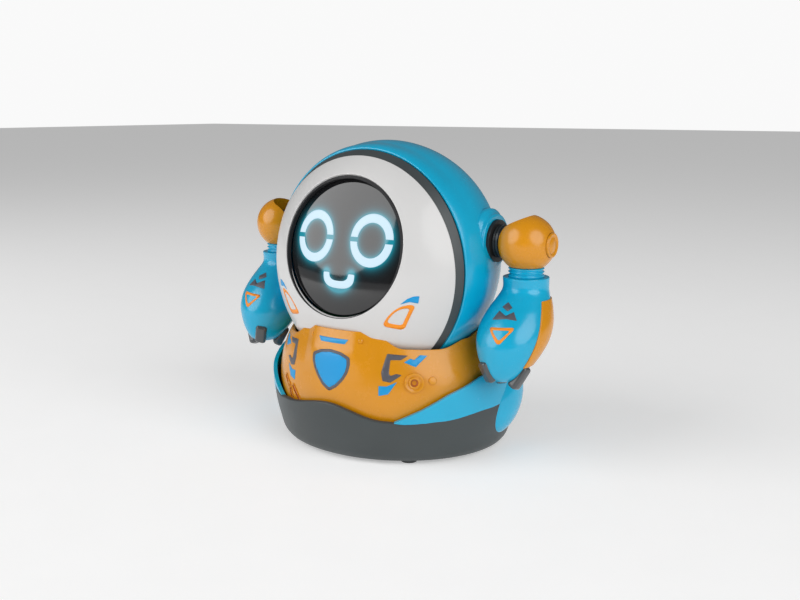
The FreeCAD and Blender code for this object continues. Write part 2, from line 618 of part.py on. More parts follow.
block = block.cut(rod(MOTOR_SHAFT_RADIUS + 0.6, (0, MOTOR_Y, AXLE_Z), (60, MOTOR_Y, AXLE_Z)))
save_pair("bearing_block", block)

# ---------------------------------------------------------------- boards, speaker, switch
board = box((-26.0, 20.0, BOARD_Z), (26.0, 40.0, BOARD_Z + BOARD_THICK))
for x, y in BOARD_POSTS:
    board = board.cut(rod(SCREW_RADIUS, (x, y, BOARD_Z - 1), (x, y, BOARD_Z + 3)))
chips = [box((-6, 26, BOARD_Z + BOARD_THICK), (6, 35, BOARD_Z + BOARD_THICK + 1.6)),
         box((10, 28, BOARD_Z + BOARD_THICK), (16, 33, BOARD_Z + BOARD_THICK + 1.4)),
         box((-17, 26, BOARD_Z + BOARD_THICK), (-10, 34, BOARD_Z + BOARD_THICK + 5.5))]
save("main_board", Part.makeCompound([board] + chips))
speaker_low = cell_z + CELL_RADIUS + 0.3
tray_top = cell_z + 2.0
speaker = join([rod(SPEAKER_RADIUS, (0, -28, speaker_low + 3), (0, -28, speaker_low + SPEAKER_DEPTH)),
                Part.makeCone(9.0, SPEAKER_RADIUS - 1, 3.0, V(0, -28, speaker_low)),
                box((-24.8, -31, speaker_low + 3.4), (24.8, -25, speaker_low + SPEAKER_DEPTH)),
                box((-24.8, -31, tray_top), (-23.7, -25, speaker_low + SPEAKER_DEPTH)),
                box((23.7, -31, tray_top), (24.8, -25, speaker_low + SPEAKER_DEPTH))])
save("speaker", speaker)

switch_body = box((SWITCH_X - 4.6, SWITCH_Y - 3.2, FLOOR_Z),
                  (SWITCH_X + 4.6 + SWITCH_TRAVEL, SWITCH_Y + 3.2, FLOOR_Z + 5.0))
switch_body = switch_body.cut(box((SWITCH_X - 2.4, SWITCH_Y - 2.0, 0),
                                  (SWITCH_X + 2.4 + SWITCH_TRAVEL, SWITCH_Y + 2.0, FLOOR_Z + 3.4)))
save("switch_body", switch_body)
knob = box((SWITCH_X - 1.8, SWITCH_Y - 1.6, 0.9), (SWITCH_X + 1.8, SWITCH_Y + 1.6, FLOOR_Z + 3.1))
for i in range(3):
    knob = knob.cut(box((SWITCH_X - 1.2 + i, SWITCH_Y - 2, 0), (SWITCH_X - 0.8 + i, SWITCH_Y + 2, 1.2)))
save("power_switch", knob)

case_screws = [screw((x, y, CHASSIS_TOP), (x, y, FLOOR_Z - 0.8)) for x, y in PLATE_SCREWS]
case_screws += [screw((x, y, BOARD_Z + BOARD_THICK), (x, y, BOARD_Z - 6)) for x, y in BOARD_POSTS]
case_screws.append(screw((0, door_screw_y, SKIRT_Z + 1.0), (0, door_screw_y, FLOOR_Z - 0.2)))
case_screws.append(Part.makeCylinder(SCREW_RADIUS - 0.05, 6.4, boss_root + boss_out * 0.5, boss_out))
save("case_screws", Part.makeCompound(case_screws))

# ---------------------------------------------------------------- shoulder
CENTRE = V(SHOULDER_X, 0, SHOULDER_Z)
PIN_REACH = BALL_RADIUS - 1.4
bush_low = BOSS_FACE_X - BUSH_LENGTH
bush = tube(BUSH_OUTER, SHAFT_RADIUS + SHAFT_RUN, (bush_low, 0, SHOULDER_Z), (BOSS_FACE_X, 0, SHOULDER_Z))
save_pair("shoulder_bush", bush)

collar_low = BOSS_FACE_X + COLLAR_GAP
collar_high = SHOULDER_X - BALL_BORE + 0.6
shaft_parts = [rod(SHAFT_RADIUS, (bush_low - 2.4, 0, SHOULDER_Z), (collar_low + 0.5, 0, SHOULDER_Z)),
               rod(COLLAR_RADIUS, (collar_low, 0, SHOULDER_Z), (collar_high, 0, SHOULDER_Z)),
               rod(SHAFT_NECK, (collar_high - 0.5, 0, SHOULDER_Z), (SHOULDER_X - 5.4, 0, SHOULDER_Z))]
shaft = join(shaft_parts)
for i in range(3):
    groove_x = collar_low + 0.9 + 1.5 * i
    shaft = shaft.cut(tube(COLLAR_RADIUS + 1, COLLAR_RADIUS - 0.5, (groove_x, 0, SHOULDER_Z),
                           (groove_x + 0.6, 0, SHOULDER_Z)))
clip_low, clip_high = (bush_low - 1.9, 0, SHOULDER_Z), (bush_low - 0.3, 0, SHOULDER_Z)
shaft = shaft.cut(tube(CLIP_RADIUS + 1, SHAFT_RADIUS - 0.8, clip_low, clip_high))
clip = tube(CLIP_RADIUS, SHAFT_RADIUS - 0.8, clip_low, clip_high)
clip = clip.cut(box((0, -4.0, SHOULDER_Z - 12), (bush_low + 5, 4.0, SHOULDER_Z)))
save_pair("shoulder_shaft", Part.makeCompound([shaft, clip]))

hub = Part.makeSphere(HUB_RADIUS, CENTRE).cut(box((0, -20, 0), (SHOULDER_X - 5.4, 20, 200)))
pin = rod(PIN_RADIUS, CENTRE - Y_AXIS * PIN_REACH, CENTRE + Y_AXIS * PIN_REACH)
hub = hub.cut(rod(PIN_RADIUS + SHAFT_RUN, (SHOULDER_X, -20, SHOULDER_Z), (SHOULDER_X, 20, SHOULDER_Z)))
save_pair("shoulder_hub", hub)
save_pair("raise_pin", pin)


def slot_sweep():
    """Room in the ball for the shaft while the arm swings out sideways."""
    width = COLLAR_RADIUS + RUN
    stop = V(-BALL_RADIUS - 4, 0, 0)
    first = Part.makeCylinder(width, BALL_RADIUS + 4, stop, X_AXIS)
    last = first.copy()
    last.rotate(V(0, 0, 0), Y_AXIS, RAISE_ANGLE)
    flat = Part.Face(Part.makePolygon([V(0, -width, 0), V(0, width, 0), V(stop.x, width, 0),
                                       V(stop.x, -width, 0), V(0, -width, 0)]))
    sweep = first.multiFuse([last, flat.revolve(V(0, 0, 0), Y_AXIS, RAISE_ANGLE)])
    sweep.translate(CENTRE)
    return sweep


ball = Part.makeSphere(BALL_RADIUS, CENTRE).cut(Part.makeSphere(BALL_BORE, CENTRE))
ball = ball.cut(box((0, -20, 0), (200, 20, SHOULDER_Z - BALL_FLAT)))
ball = ball.cut(slot_sweep())
ball = ball.cut(pin)
ball = ball.cut(rod(STEM_RADIUS + SHAFT_RUN, (SHOULDER_X, 0, 60), (SHOULDER_X, 0, SHOULDER_Z)))
cap_seat = SHOULDER_X + BALL_RADIUS - CAP_THICK - 0.15
ball = ball.cut(rod(CAP_RADIUS + FIT, (cap_seat, 0, SHOULDER_Z), (200, 0, SHOULDER_Z)))
save_pair("ball_front", ball.common(box((0, -30, 0), (200, -0.03, 200))))
save_pair("ball_back", ball.common(box((0, 0.03, 0), (200, 30, 200))))
cap = rod(CAP_RADIUS, (cap_seat, 0, SHOULDER_Z), (cap_seat + CAP_THICK, 0, SHOULDER_Z))
cap = cap.makeChamfer(0.5, [e for e in cap.Edges if e.CenterOfMass.x > cap_seat + CAP_THICK - 0.05])
save_pair("ball_cap", cap)

# ---------------------------------------------------------------- forearm
neck_top = SHOULDER_Z - BALL_FLAT - RUN
arm_top = neck_top - NECK_HEIGHT
stem_top = SHOULDER_Z - BALL_BORE + STEM_HEAD_THICK + 0.15
neck = rod(NECK_RADIUS, (SHOULDER_X, 0, arm_top), (SHOULDER_X, 0, neck_top))
for i in range(2):
    z = arm_top + 1.1 + 1.5 * i
    neck = neck.cut(tube(NECK_RADIUS + 1, NECK_RADIUS - 0.6, (SHOULDER_X, 0, z), (SHOULDER_X, 0, z + 0.6)))
stem = rod(STEM_RADIUS, (SHOULDER_X, 0, neck_top - 1), (SHOULDER_X, 0, stem_top))
stem_button = rod(STEM_HEAD, (SHOULDER_X, 0, stem_top - STEM_HEAD_THICK), (SHOULDER_X, 0, stem_top))
stem_button = stem_button.common(Part.makeSphere(BALL_BORE - 0.12, CENTRE))
save_pair("neck", join([neck, stem, stem_button]))


def forearm_form(grow=0.0, low=0.0):
    """An egg that leans forward as it goes down."""
    k = ARM_BULGE / 15.0
    profile = [(0.0, 0.0, 0.0, ARM_TOP_RADIUS, ARM_TOP_RADIUS), (0.12, 0.0, 0.0, ARM_TOP_RADIUS, ARM_TOP_RADIUS),
               (0.215, 0.0, -2.0, 11.4 * k, 12.0 * k), (0.31, -0.2, -4.3, 13.2 * k, 14.2 * k),
               (0.455, -0.5, -7.4, 15.0 * k, 16.2 * k), (0.6, -0.8, -10.0, 15.0 * k, 16.4 * k),
               (0.74, -1.1, -12.4, 13.2 * k, 14.4 * k), (0.86, -1.2, -14.4, 10.4 * k, 11.6 * k),
               (0.955, -1.2, -15.8, 7.4 * k, 8.4 * k), (1.0, -1.2, -16.3, 5.0 * k, 5.6 * k)]
    return stack([(arm_top - (ARM_LENGTH - low) * t, rx + grow, ry + grow, ry + grow, SHOULDER_X + dx, dy)
                  for t, dx, dy, rx, ry in profile])


def claw(top, tip):
    """A rounded nail that lies against the end of the forearm."""
    return join([Part.makeSphere(CLAW_RADIUS, V(*top)), rod(CLAW_RADIUS, top, tip),
                 Part.makeSphere(CLAW_RADIUS, V(*tip))])


arm_tip = arm_top - ARM_LENGTH
CLAWS = [((SHOULDER_X - 5.9, -24.0, arm_tip + 6.6), (SHOULDER_X - 4.2, -22.8, arm_tip + 1.9)),
         ((SHOULDER_X + 7.7, -15.8, arm_tip + 4.8), (SHOULDER_X + 4.8, -17.4, arm_tip - 0.9)),
         ((SHOULDER_X - 7.0, -9.0, arm_tip + 3.6), (SHOULDER_X - 5.0, -11.0, arm_tip - 1.6))]
claws = [claw(*c) for c in CLAWS]
forearm = forearm_form()
inside = forearm_form(-ARM_WALL, 2 * ARM_WALL)
inside.translate(V(0, 0, -ARM_WALL))
shell = forearm.cut(inside)
for c in claws:
    shell = shell.cut(c)
shell = max(shell.Solids, key=lambda s: s.Volume)


def panel_zone(grow):
    """The outer and rear sector of the forearm that the orange panel covers."""
    wedge = Part.makeCylinder(40.0, PANEL_TOP - PANEL_BOTTOM + 2 * grow, V(0, 0, PANEL_BOTTOM - grow), Z_AXIS, 150.0)
    wedge.rotate(V(0, 0, 0), Z_AXIS, PANEL_TURN)
    wedge.translate(V(SHOULDER_X - 1.0, -8.0, 0))
    return wedge


panel = forearm_form(PANEL_PROUD).cut(forearm_form(PANEL_PROUD - PANEL_WALL)).common(panel_zone(0))
groove_turn = math.radians(GROOVE_TURN + PANEL_TURN)
groove_at = V(SHOULDER_X - 1.0 + GROOVE_OUT * math.cos(groove_turn), -8.0 + GROOVE_OUT * math.sin(groove_turn),
              PANEL_BOTTOM + 4)
panel = panel.cut(Part.makeCylinder(0.45, PANEL_TOP - PANEL_BOTTOM - 8, groove_at))
panel = max(panel.Solids, key=lambda s: s.Volume)
panel_seat = forearm_form(PANEL_PROUD + 0.2).cut(forearm_form(PANEL_PROUD - PANEL_WALL - 0.05))
shell = shell.cut(panel_seat.common(panel_zone(0.08)))
shell = max(shell.Solids, key=lambda s: s.Volume)
save_pair("forearm_shell", shell)
save_pair("forearm_panel", panel)
save_pair("claws", Part.makeCompound([c.cut(inside) for c in claws]))
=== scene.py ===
import functools
import math

import bmesh
import bpy
from mathutils import Matrix, Vector


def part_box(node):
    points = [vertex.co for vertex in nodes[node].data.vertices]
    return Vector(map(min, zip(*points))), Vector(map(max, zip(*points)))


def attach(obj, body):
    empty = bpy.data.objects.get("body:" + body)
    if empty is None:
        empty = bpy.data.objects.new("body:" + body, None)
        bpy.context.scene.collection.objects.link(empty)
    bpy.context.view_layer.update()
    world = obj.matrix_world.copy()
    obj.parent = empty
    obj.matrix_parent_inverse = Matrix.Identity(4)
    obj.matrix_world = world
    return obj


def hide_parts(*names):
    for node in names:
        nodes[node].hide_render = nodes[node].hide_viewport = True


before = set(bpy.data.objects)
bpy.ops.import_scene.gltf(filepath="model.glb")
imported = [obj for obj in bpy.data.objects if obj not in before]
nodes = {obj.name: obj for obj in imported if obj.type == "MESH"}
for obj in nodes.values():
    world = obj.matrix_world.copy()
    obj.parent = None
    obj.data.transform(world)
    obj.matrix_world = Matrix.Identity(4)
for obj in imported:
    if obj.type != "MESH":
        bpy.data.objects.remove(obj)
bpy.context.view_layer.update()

mm = 0.001


# ------------------------------------------------------------------ base tub
# The skirt that the robot stands in: one dark moulding whose wall leans in towards the table.
# Its rim rises to a crest in front, dips beside it and climbs again to the back.
def smooth(value, low, high):
    """0 below low, 1 above high, an S-curve between."""
    t = min(1.0, max(0.0, (value - low) / (high - low)))
    return t * t * (3 - 2 * t)


def eased(table, value):
    """Eases from one row of a short table to the next."""
    for (v0, h0), (v1, h1) in zip(table, table[1:]):
        if value <= v1:
            return h0 + (h1 - h0) * smooth(value, v0, v1)
    return table[-1][1]


def curved(table, value):
    """A soft curve through the rows of a short table, one number for each further column."""
    last = len(table) - 1
    i = max(0, min(last - 1, sum(1 for row in table if row[0] <= value) - 1))
    t = min(1.0, max(0.0, (value - table[i][0]) / (table[i + 1][0] - table[i][0])))
    gap = table[i + 1][0] - table[i][0]
    result = []
    for column in range(1, len(table[0])):
        def slope(k):
            a, b = table[max(0, k - 1)], table[min(last, k + 1)]
            return (b[column] - a[column]) / (b[0] - a[0]) * gap
        p0, p1 = table[i][column], table[i + 1][column]
        result.append(p0 * (1 + 2 * t) * (1 - t) ** 2 + slope(i) * t * (1 - t) ** 2
                      + p1 * t * t * (3 - 2 * t) + slope(i + 1) * t * t * (t - 1))
    return result


def skin(across, along, place, closed=True):
    """A sheet of mesh laid on a formula: place(u, v) gives a point in millimetres for 0 <= u, v <= 1."""
    bm = bmesh.new()
    bmesh.ops.create_grid(bm, x_segments=across, y_segments=along, size=0.5)
    for vert in bm.verts:
        vert.co = Vector(place(vert.co.x + 0.5, vert.co.y + 0.5)) * mm
    if closed:
        bmesh.ops.remove_doubles(bm, verts=bm.verts, dist=0.004 * mm)
    return bm


def face_outwards(bm, middle):
    """Turns every face of an open sheet away from a point inside the object."""
    middle = Vector(middle) * mm
    wrong = [f for f in bm.faces if f.normal.dot(f.calc_center_median() - middle) < 0]
    if len(wrong) * 2 > len(bm.faces):
        bmesh.ops.reverse_faces(bm, faces=bm.faces)


def mesh_of(name, bm):
    """Turns a finished bmesh into a mesh."""
    mesh = bpy.data.meshes.new(name)
    bm.to_mesh(mesh)
    bm.free()
    return mesh


def placed(name, data):
    """Puts a mesh, a light or the camera in the scene."""
    thing = bpy.data.objects.new(name, data)
    bpy.context.scene.collection.objects.link(thing)
    return thing


def made(name, bm, body, finish, wall=0.0, edge=0.0, edge_steps=3, stands_for=()):
    """Makes the object, gives it its wall and rounded edges, its finish and the body that it rides on."""
    bm.normal_update()
    mesh = mesh_of(name, bm)
    mesh.polygons.foreach_set("use_smooth", [True] * len(mesh.polygons))
    piece = placed(name, mesh)
    mesh.materials.append(finish)
    if wall:
        solid = piece.modifiers.new("wall", "SOLIDIFY")
        solid.thickness, solid.offset = wall * mm, -1.0
    if edge:
        bevel = piece.modifiers.new("rounded edges", "BEVEL")
        bevel.width, bevel.segments, bevel.limit_method = edge * mm, edge_steps, "ANGLE"
        bevel.angle_limit, bevel.harden_normals = math.radians(35), True
    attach(piece, body)
    if stands_for:
        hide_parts(*stands_for)
    return piece


def moulded(name, colour, rough, drift=0.06, grain=0.25, coat=0.0, scuff=0.05, glow=None):
    """Moulded plastic: a slow drift of tone, handling marks in the gloss and a fine mould texture."""
    cloud_scale, speck_scale, rub_scale, grain_scale = 38.0, 420.0, 150.0, 2600.0
    speck_share, speck_dark, speck_light = 0.05, 0.8, 1.15
    finish = bpy.data.materials.new(name)
    finish.use_nodes = True
    tree = finish.node_tree
    shader = tree.nodes["Principled BSDF"]
    shader.inputs["Coat Weight"].default_value = coat
    shader.inputs["Coat Roughness"].default_value = 0.08
    place = tree.nodes.new("ShaderNodeTexCoord")

    def noise(scale, detail, rough_amount=0.5):
        node = tree.nodes.new("ShaderNodeTexNoise")
        node.inputs["Scale"].default_value = scale
        node.inputs["Detail"].default_value = detail
        node.inputs["Roughness"].default_value = rough_amount
        tree.links.new(place.outputs["Object"], node.inputs["Vector"])
        return node

    cloud = noise(cloud_scale, 3.0)
    tone = tree.nodes.new("ShaderNodeValToRGB")
    tone.color_ramp.elements[0].position, tone.color_ramp.elements[1].position = 0.3, 0.7
    tone.color_ramp.elements[0].color = [c * (1 - drift) for c in colour] + [1]
    tone.color_ramp.elements[1].color = [min(1.0, c * (1 + drift)) for c in colour] + [1]
    tree.links.new(cloud.outputs["Fac"], tone.inputs["Fac"])
    marks = noise(speck_scale, 5.0, 0.7)
    speckle = tree.nodes.new("ShaderNodeMix")
    speckle.data_type, speckle.blend_type = "RGBA", "MULTIPLY"
    speckle.inputs["Factor"].default_value = speck_share
    tree.links.new(tone.outputs["Color"], speckle.inputs["A"])
    fade = tree.nodes.new("ShaderNodeMapRange")
    fade.inputs["To Min"].default_value, fade.inputs["To Max"].default_value = speck_dark, speck_light
    tree.links.new(marks.outputs["Fac"], fade.inputs["Value"])
    tree.links.new(fade.outputs["Result"], speckle.inputs["B"])
    tree.links.new(speckle.outputs["Result"], shader.inputs["Base Color"])
    gloss = tree.nodes.new("ShaderNodeMapRange")
    gloss.inputs["From Min"].default_value, gloss.inputs["From Max"].default_value = 0.3, 0.72
    gloss.inputs["To Min"].default_value = max(0.02, rough - scuff)
    gloss.inputs["To Max"].default_value = rough + scuff
    tree.links.new(noise(rub_scale, 8.0, 0.75).outputs["Fac"], gloss.inputs["Value"])
    tree.links.new(gloss.outputs["Result"], shader.inputs["Roughness"])
    bump = tree.nodes.new("ShaderNodeBump")
    bump.inputs["Strength"].default_value = grain
    bump.inputs["Distance"].default_value = 0.03 * mm
    tree.links.new(noise(grain_scale, 2.0).outputs["Fac"], bump.inputs["Height"])
    tree.links.new(bump.outputs["Normal"], shader.inputs["Normal"])
    if glow:
        shader.inputs["Emission Color"].default_value = list(glow[0]) + [1]
        shader.inputs["Emission Strength"].default_value = glow[1]
    return finish


def ring_of(angle):
    """Direction round the body for the u of a closed skin: 0 in front, going towards +X."""
    turn = 2 * math.pi * angle
    return math.sin(turn), -math.cos(turn)


def degrees_from_front(x, y):
    """0 in front, 90 at either side and 180 behind."""
    return math.degrees(math.atan2(abs(x), -y))


TUB_HALF = (59.4, 53.5)
TUB_LOW, TUB_WALL = 1.6, 2.2
TUB_TAPER = [(0.0, 0.895), (2.4, 0.928), (8.0, 0.957), (14.0, 0.982), (21.0, 1.0), (31.0, 1.012)]
RIM = [(0, 26.6), (30, 20.6), (38, 19.8), (54, 21.4), (78, 23.8), (100, 25.4), (180, 27.0)]
RIM_RIGHT = [(0, 26.6), (30, 22.6), (38, 22.0), (62, 29.2), (90, 30.0), (120, 27.4), (180, 27.0)]

dark_tub = moulded("dark satin skirt plastic", (0.05, 0.06, 0.062), 0.44, drift=0.08, grain=0.5)


def rim_height(x, y):
    """The rim climbs higher on the robot's right side than on its left."""
    return eased(RIM if x >= 0 else RIM_RIGHT, degrees_from_front(x, y))


def tub_point(u, v):
    s, c = ring_of(u)
    high = rim_height(s * TUB_HALF[0], c * TUB_HALF[1])
    z = TUB_LOW + (high - TUB_LOW) * v
    taper = curved(TUB_TAPER, z - TUB_LOW)[0]
    return s * TUB_HALF[0] * taper, c * TUB_HALF[1] * taper, z


bm = skin(240, 26, tub_point)
face_outwards(bm, (0, 0, 15))
made("tub_skirt", bm, "body", dark_tub, wall=TUB_WALL, edge=0.7, stands_for=["base_tub"])


# ------------------------------------------------------------------ floor of the tub
# A flat plate across the bottom of the skirt, moulded in one with it, with slots for the wheels, the
# battery door and the switch.
def plate(corners, low, high):
    """A flat slab with the given outline."""
    bm = bmesh.new()
    face = bm.faces.new([bm.verts.new((x * mm, y * mm, low * mm)) for x, y in corners])
    top = bmesh.ops.extrude_face_region(bm, geom=[face])
    bmesh.ops.translate(bm, vec=(0, 0, (high - low) * mm),
                        verts=[v for v in top["geom"] if isinstance(v, bmesh.types.BMVert)])
    bmesh.ops.recalc_face_normals(bm, faces=bm.faces)
    return bm


def block(low, high):
    """A square block between two corners."""
    corners = [(low[0], low[1]), (high[0], low[1]), (high[0], high[1]), (low[0], high[1])]
    return plate(corners, low[2], high[2])


def opened(piece, cutter_bm):
    """Cuts a hole with a throw-away cutter and makes the result the piece's own mesh."""
    mesh = mesh_of("cutter", cutter_bm)
    cutter = placed("cutter", mesh)
    cut = piece.modifiers.new("hole", "BOOLEAN")
    cut.operation, cut.object, cut.solver = "DIFFERENCE", cutter, "EXACT"
    with bpy.context.temp_override(object=piece, active_object=piece):
        bpy.ops.object.modifier_move_to_index(modifier=cut.name, index=0)
        bpy.ops.object.modifier_apply(modifier=cut.name)
    bpy.data.objects.remove(cutter)
    bpy.data.meshes.remove(mesh)


def node_size(name):
    """Lowest and highest corner of a CAD node, in millimetres."""
    low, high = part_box(name)
    return Vector(low) / mm, Vector(high) / mm


tyre_low, tyre_high = node_size("tyre_left")
door_low, door_high = node_size("battery_door")
knob_low, knob_high = node_size("power_switch")
FLOOR_SHARE, FLOOR_CORNERS = 0.885, 96
WHEEL_GAP, DOOR_GAP, KNOB_GAP, KNOB_TRAVEL = 1.2, 0.2, 0.3, 3.0
HOLE_HIGH = 9

floor_high = TUB_LOW + TUB_WALL
outline = [(math.sin(t) * TUB_HALF[0] * FLOOR_SHARE, -math.cos(t) * TUB_HALF[1] * FLOOR_SHARE)
           for t in (2 * math.pi * i / FLOOR_CORNERS for i in range(FLOOR_CORNERS))]
tub_floor = made("tub_floor", plate(outline, TUB_LOW, floor_high), "body", dark_tub)
wheel_front, wheel_back = tyre_low.y - WHEEL_GAP, tyre_high.y + WHEEL_GAP
holes = [
    ((tyre_low.x - WHEEL_GAP, wheel_front), (tyre_high.x + WHEEL_GAP, wheel_back)),
    ((-tyre_high.x - WHEEL_GAP, wheel_front), (-tyre_low.x + WHEEL_GAP, wheel_back)),
    ((door_low.x - DOOR_GAP, door_low.y - DOOR_GAP), (door_high.x + DOOR_GAP, door_high.y + DOOR_GAP)),
    ((knob_low.x - 0.4, knob_low.y - KNOB_GAP), (knob_high.x + 0.4 + KNOB_TRAVEL, knob_high.y + KNOB_GAP)),
]
for low, high in holes:
    opened(tub_floor, block((*low, 0), (*high, HOLE_HIGH)))


# ------------------------------------------------------------------ wheels, feet, drive and battery
# Everything that works inside the base: hard skid feet, two rubber-tyred wheels on steel axles,
# one gear pair and motor a side, three cells in a tray under a screwed door, and the switch.
def dressed(finish, *names):
    """Gives CAD nodes their finish."""
    for name in names:
        for holder in nodes[name].material_slots:
            holder.material = finish


def pair(name):
    """The names of a left and a right node."""
    return name + "_left", name + "_right"


tyre_rubber = moulded("tyre rubber", (0.022, 0.022, 0.023), 0.78, drift=0.18, grain=0.9, scuff=0.1)
grey_frame = moulded("grey glass-filled frame plastic", (0.23, 0.24, 0.25), 0.55, drift=0.1, grain=0.6)
black_frame = moulded("black frame plastic", (0.018, 0.018, 0.02), 0.5, drift=0.15, grain=0.5)
gear_white = moulded("natural acetal", (0.72, 0.71, 0.66), 0.38, drift=0.04, grain=0.15)
foot_hard = moulded("hard skid plastic", (0.045, 0.05, 0.052), 0.33, drift=0.12, grain=0.3, scuff=0.12)
cell_wrap = moulded("shrink wrap of a cell", (0.05, 0.2, 0.09), 0.22, drift=0.1, grain=0.05, coat=0.4)
speaker_cone = moulded("speaker paper and frame", (0.025, 0.025, 0.027), 0.7, drift=0.2, grain=1.0)
board_mask = moulded("circuit board mask", (0.012, 0.11, 0.045), 0.32, drift=0.16, grain=0.2, coat=0.2)


def steel(name, colour, rough):
    """Turned and drawn steel: metal with a fine grain and a little tarnish."""
    finish = moulded(name, colour, rough, drift=0.07, grain=0.35, scuff=0.07)
    finish.node_tree.nodes["Principled BSDF"].inputs["Metallic"].default_value = 1.0
    return finish


bright_steel = steel("bright steel", (0.62, 0.62, 0.61), 0.26)
motor_can = steel("zinc-plated motor can", (0.55, 0.55, 0.53), 0.36)
spring_plate = steel("nickel-plated spring", (0.68, 0.66, 0.6), 0.3)

dressed(foot_hard, "skid_feet", "battery_door")
dressed(tyre_rubber, *pair("tyre"))
dressed(grey_frame, "chassis_plate", *pair("bearing_block"), *pair("wheel_hub"))
dressed(gear_white, *pair("wheel_gear"), *pair("motor_pinion"))
dressed(black_frame, "battery_tray", "switch_body", "power_switch", "lens_retainer")
dressed(black_frame, *pair("shoulder_bush"))
dressed(bright_steel, "case_screws", *pair("axle"), *pair("raise_pin"))
dressed(motor_can, *pair("motor"))
dressed(spring_plate, "battery_contacts")
dressed(cell_wrap, "battery_cells")
dressed(speaker_cone, "speaker")
dressed(board_mask, "main_board", "display_board")


# ------------------------------------------------------------------ belly shell
# The orange bowl under the head, moulded in one piece and standing inside the rim of the tub. A raised
# panel under the chin has sloping sides that fade out half way down; the top edge fits the head.
HEAD = Vector((0, -8.3, 84.5))
HEAD_RADIUS, HEAD_TALL, HEAD_FRONT, HEAD_REAR = 55.2, 56.2, 40.2, 50.0
HEAD_TILT = math.radians(7.3)
head_axis = Vector((0, -math.cos(HEAD_TILT), math.sin(HEAD_TILT)))
head_up = Vector((0, math.sin(HEAD_TILT), math.cos(HEAD_TILT)))

# each row: height, half width, depth in front, depth behind
BELLY = [(12.0, 54.0, 48.4, 48.2), (21.0, 55.5, 50.4, 50.0), (31.0, 56.0, 50.9, 50.0),
         (38.5, 54.8, 50.1, 48.0), (44.0, 53.0, 49.0, 45.0), (48.5, 50.8, 47.7, 41.8),
         (52.5, 48.2, 46.4, 38.6), (57.5, 45.8, 44.9, 35.8), (64.0, 43.6, 43.0, 33.4)]
COLLAR = [(-45, 51.6), (-26, 50.6), (-12, 53.3), (4, 57.0), (22, 58.5), (45, 58.0)]
BELLY_LOW, BELLY_WALL = 15.0, 2.0
TOP_LOWEST, TOP_HIGHEST, TOP_FIT = 38.0, 66.0, 0.1
CHIN_FLAT, CHIN_FOOT, CHIN_PROUD = 11.5, 17.0, 1.8
CHIN_FADE_LOW, CHIN_FADE_HIGH = 36, 50
CHIN_HALF, CHIN_RIM_END, CHIN_RISE = 15.5, 30.0, 6.4
CHIN_FRONT, CHIN_BACK = -38, -28

orange_shell = moulded("gloss orange shell", (0.69, 0.275, 0.004), 0.26, drift=0.04, grain=0.12, coat=0.2)


def belly_point(turn, z, grow=0.0):
    """A point of the shell: turn from straight ahead, height z, and how far outside the surface."""
    half, front, rear = curved(BELLY, z)
    s, c = math.sin(turn), -math.cos(turn)
    x = (half + grow) * s
    depth = (front if c < 0 else rear) + grow
    if c < 0:
        panel = 1 - min(1.0, max(0.0, (abs(x) - CHIN_FLAT) / (CHIN_FOOT - CHIN_FLAT)))
        depth += CHIN_PROUD * panel * smooth(z, CHIN_FADE_LOW, CHIN_FADE_HIGH)
    return Vector((x, depth * c, z))


def inside_head(point, grow=0.0):
    """Whether a point lies within the head, or within one that is larger all round."""
    rel = point - HEAD
    along, rise = rel.dot(head_axis), rel.dot(head_up)
    depth = (HEAD_FRONT if along > 0 else HEAD_REAR) + grow
    return math.hypot(rel.x / (HEAD_RADIUS + grow), rise / (HEAD_TALL + grow), along / depth) < 1


def collar_height(x, y):
    """Height of the shell's own edge, which stands up in front of the chin."""
    chin = (1 - smooth(abs(x), CHIN_HALF, CHIN_RIM_END)) * (1 - smooth(y, CHIN_FRONT, CHIN_BACK))
    return eased(COLLAR, y) + CHIN_RISE * chin


@functools.lru_cache(maxsize=None)
def belly_top(turn):
    """Height where the shell ends: at its own edge, or where it reaches the head."""
    low, high = TOP_LOWEST, TOP_HIGHEST
    for _ in range(24):
        z = (low + high) / 2
        p = belly_point(turn, z)
        if inside_head(p, TOP_FIT) or z > collar_height(p.x, p.y):
            high = z
        else:
            low = z
    return low


def belly_skin(u, v):
    turn = 2 * math.pi * u
    return belly_point(turn, BELLY_LOW + (belly_top(turn) - BELLY_LOW) * v)


bm = skin(360, 60, belly_skin)
face_outwards(bm, (0, 0, 35))
made("belly_shell_skin", bm, "body", orange_shell, wall=BELLY_WALL, edge=0.45,
     stands_for=["belly_shell"])


# ------------------------------------------------------------------ side fenders
# Thin blue wings, moulded in gloss plastic, that stand on the rim of the tub and wrap the lower belly.
# Each runs out to a point in front, where it lies close against the belly.
FENDER = [(26, 16.0), (33, 20.2), (46, 26.0), (58, 32.2), (75, 37.8), (92, 40.5), (125, 41.0), (180, 30.0)]
FENDER_OUT, FENDER_TIP_OUT, FENDER_WALL = 1.9, 0.9, 1.8
FENDER_TUCK, FENDER_LEAST = 0.4, 0.5
FENDER_FROM, FENDER_TO = math.radians(31.5), math.radians(134)

blue_shell = moulded("gloss blue shell", (0.002, 0.41, 0.66), 0.24, drift=0.05, grain=0.1, coat=0.25)


def straight(table, value):
    """Straight lines between the rows of a short table."""
    for (v0, h0), (v1, h1) in zip(table, table[1:]):
        if value <= v1:
            return h0 + (h1 - h0) * max(0.0, (value - v0) / (v1 - v0))
    return table[-1][1]


SIDES = ((1, "left"), (-1, "right"))


def handed(bm, side):
    """A left-hand shape as it is, or turned into its mirror image."""
    if side < 0:
        bmesh.ops.scale(bm, vec=(-1, 1, 1), verts=bm.verts)
        bmesh.ops.reverse_faces(bm, faces=bm.faces)
    return bm


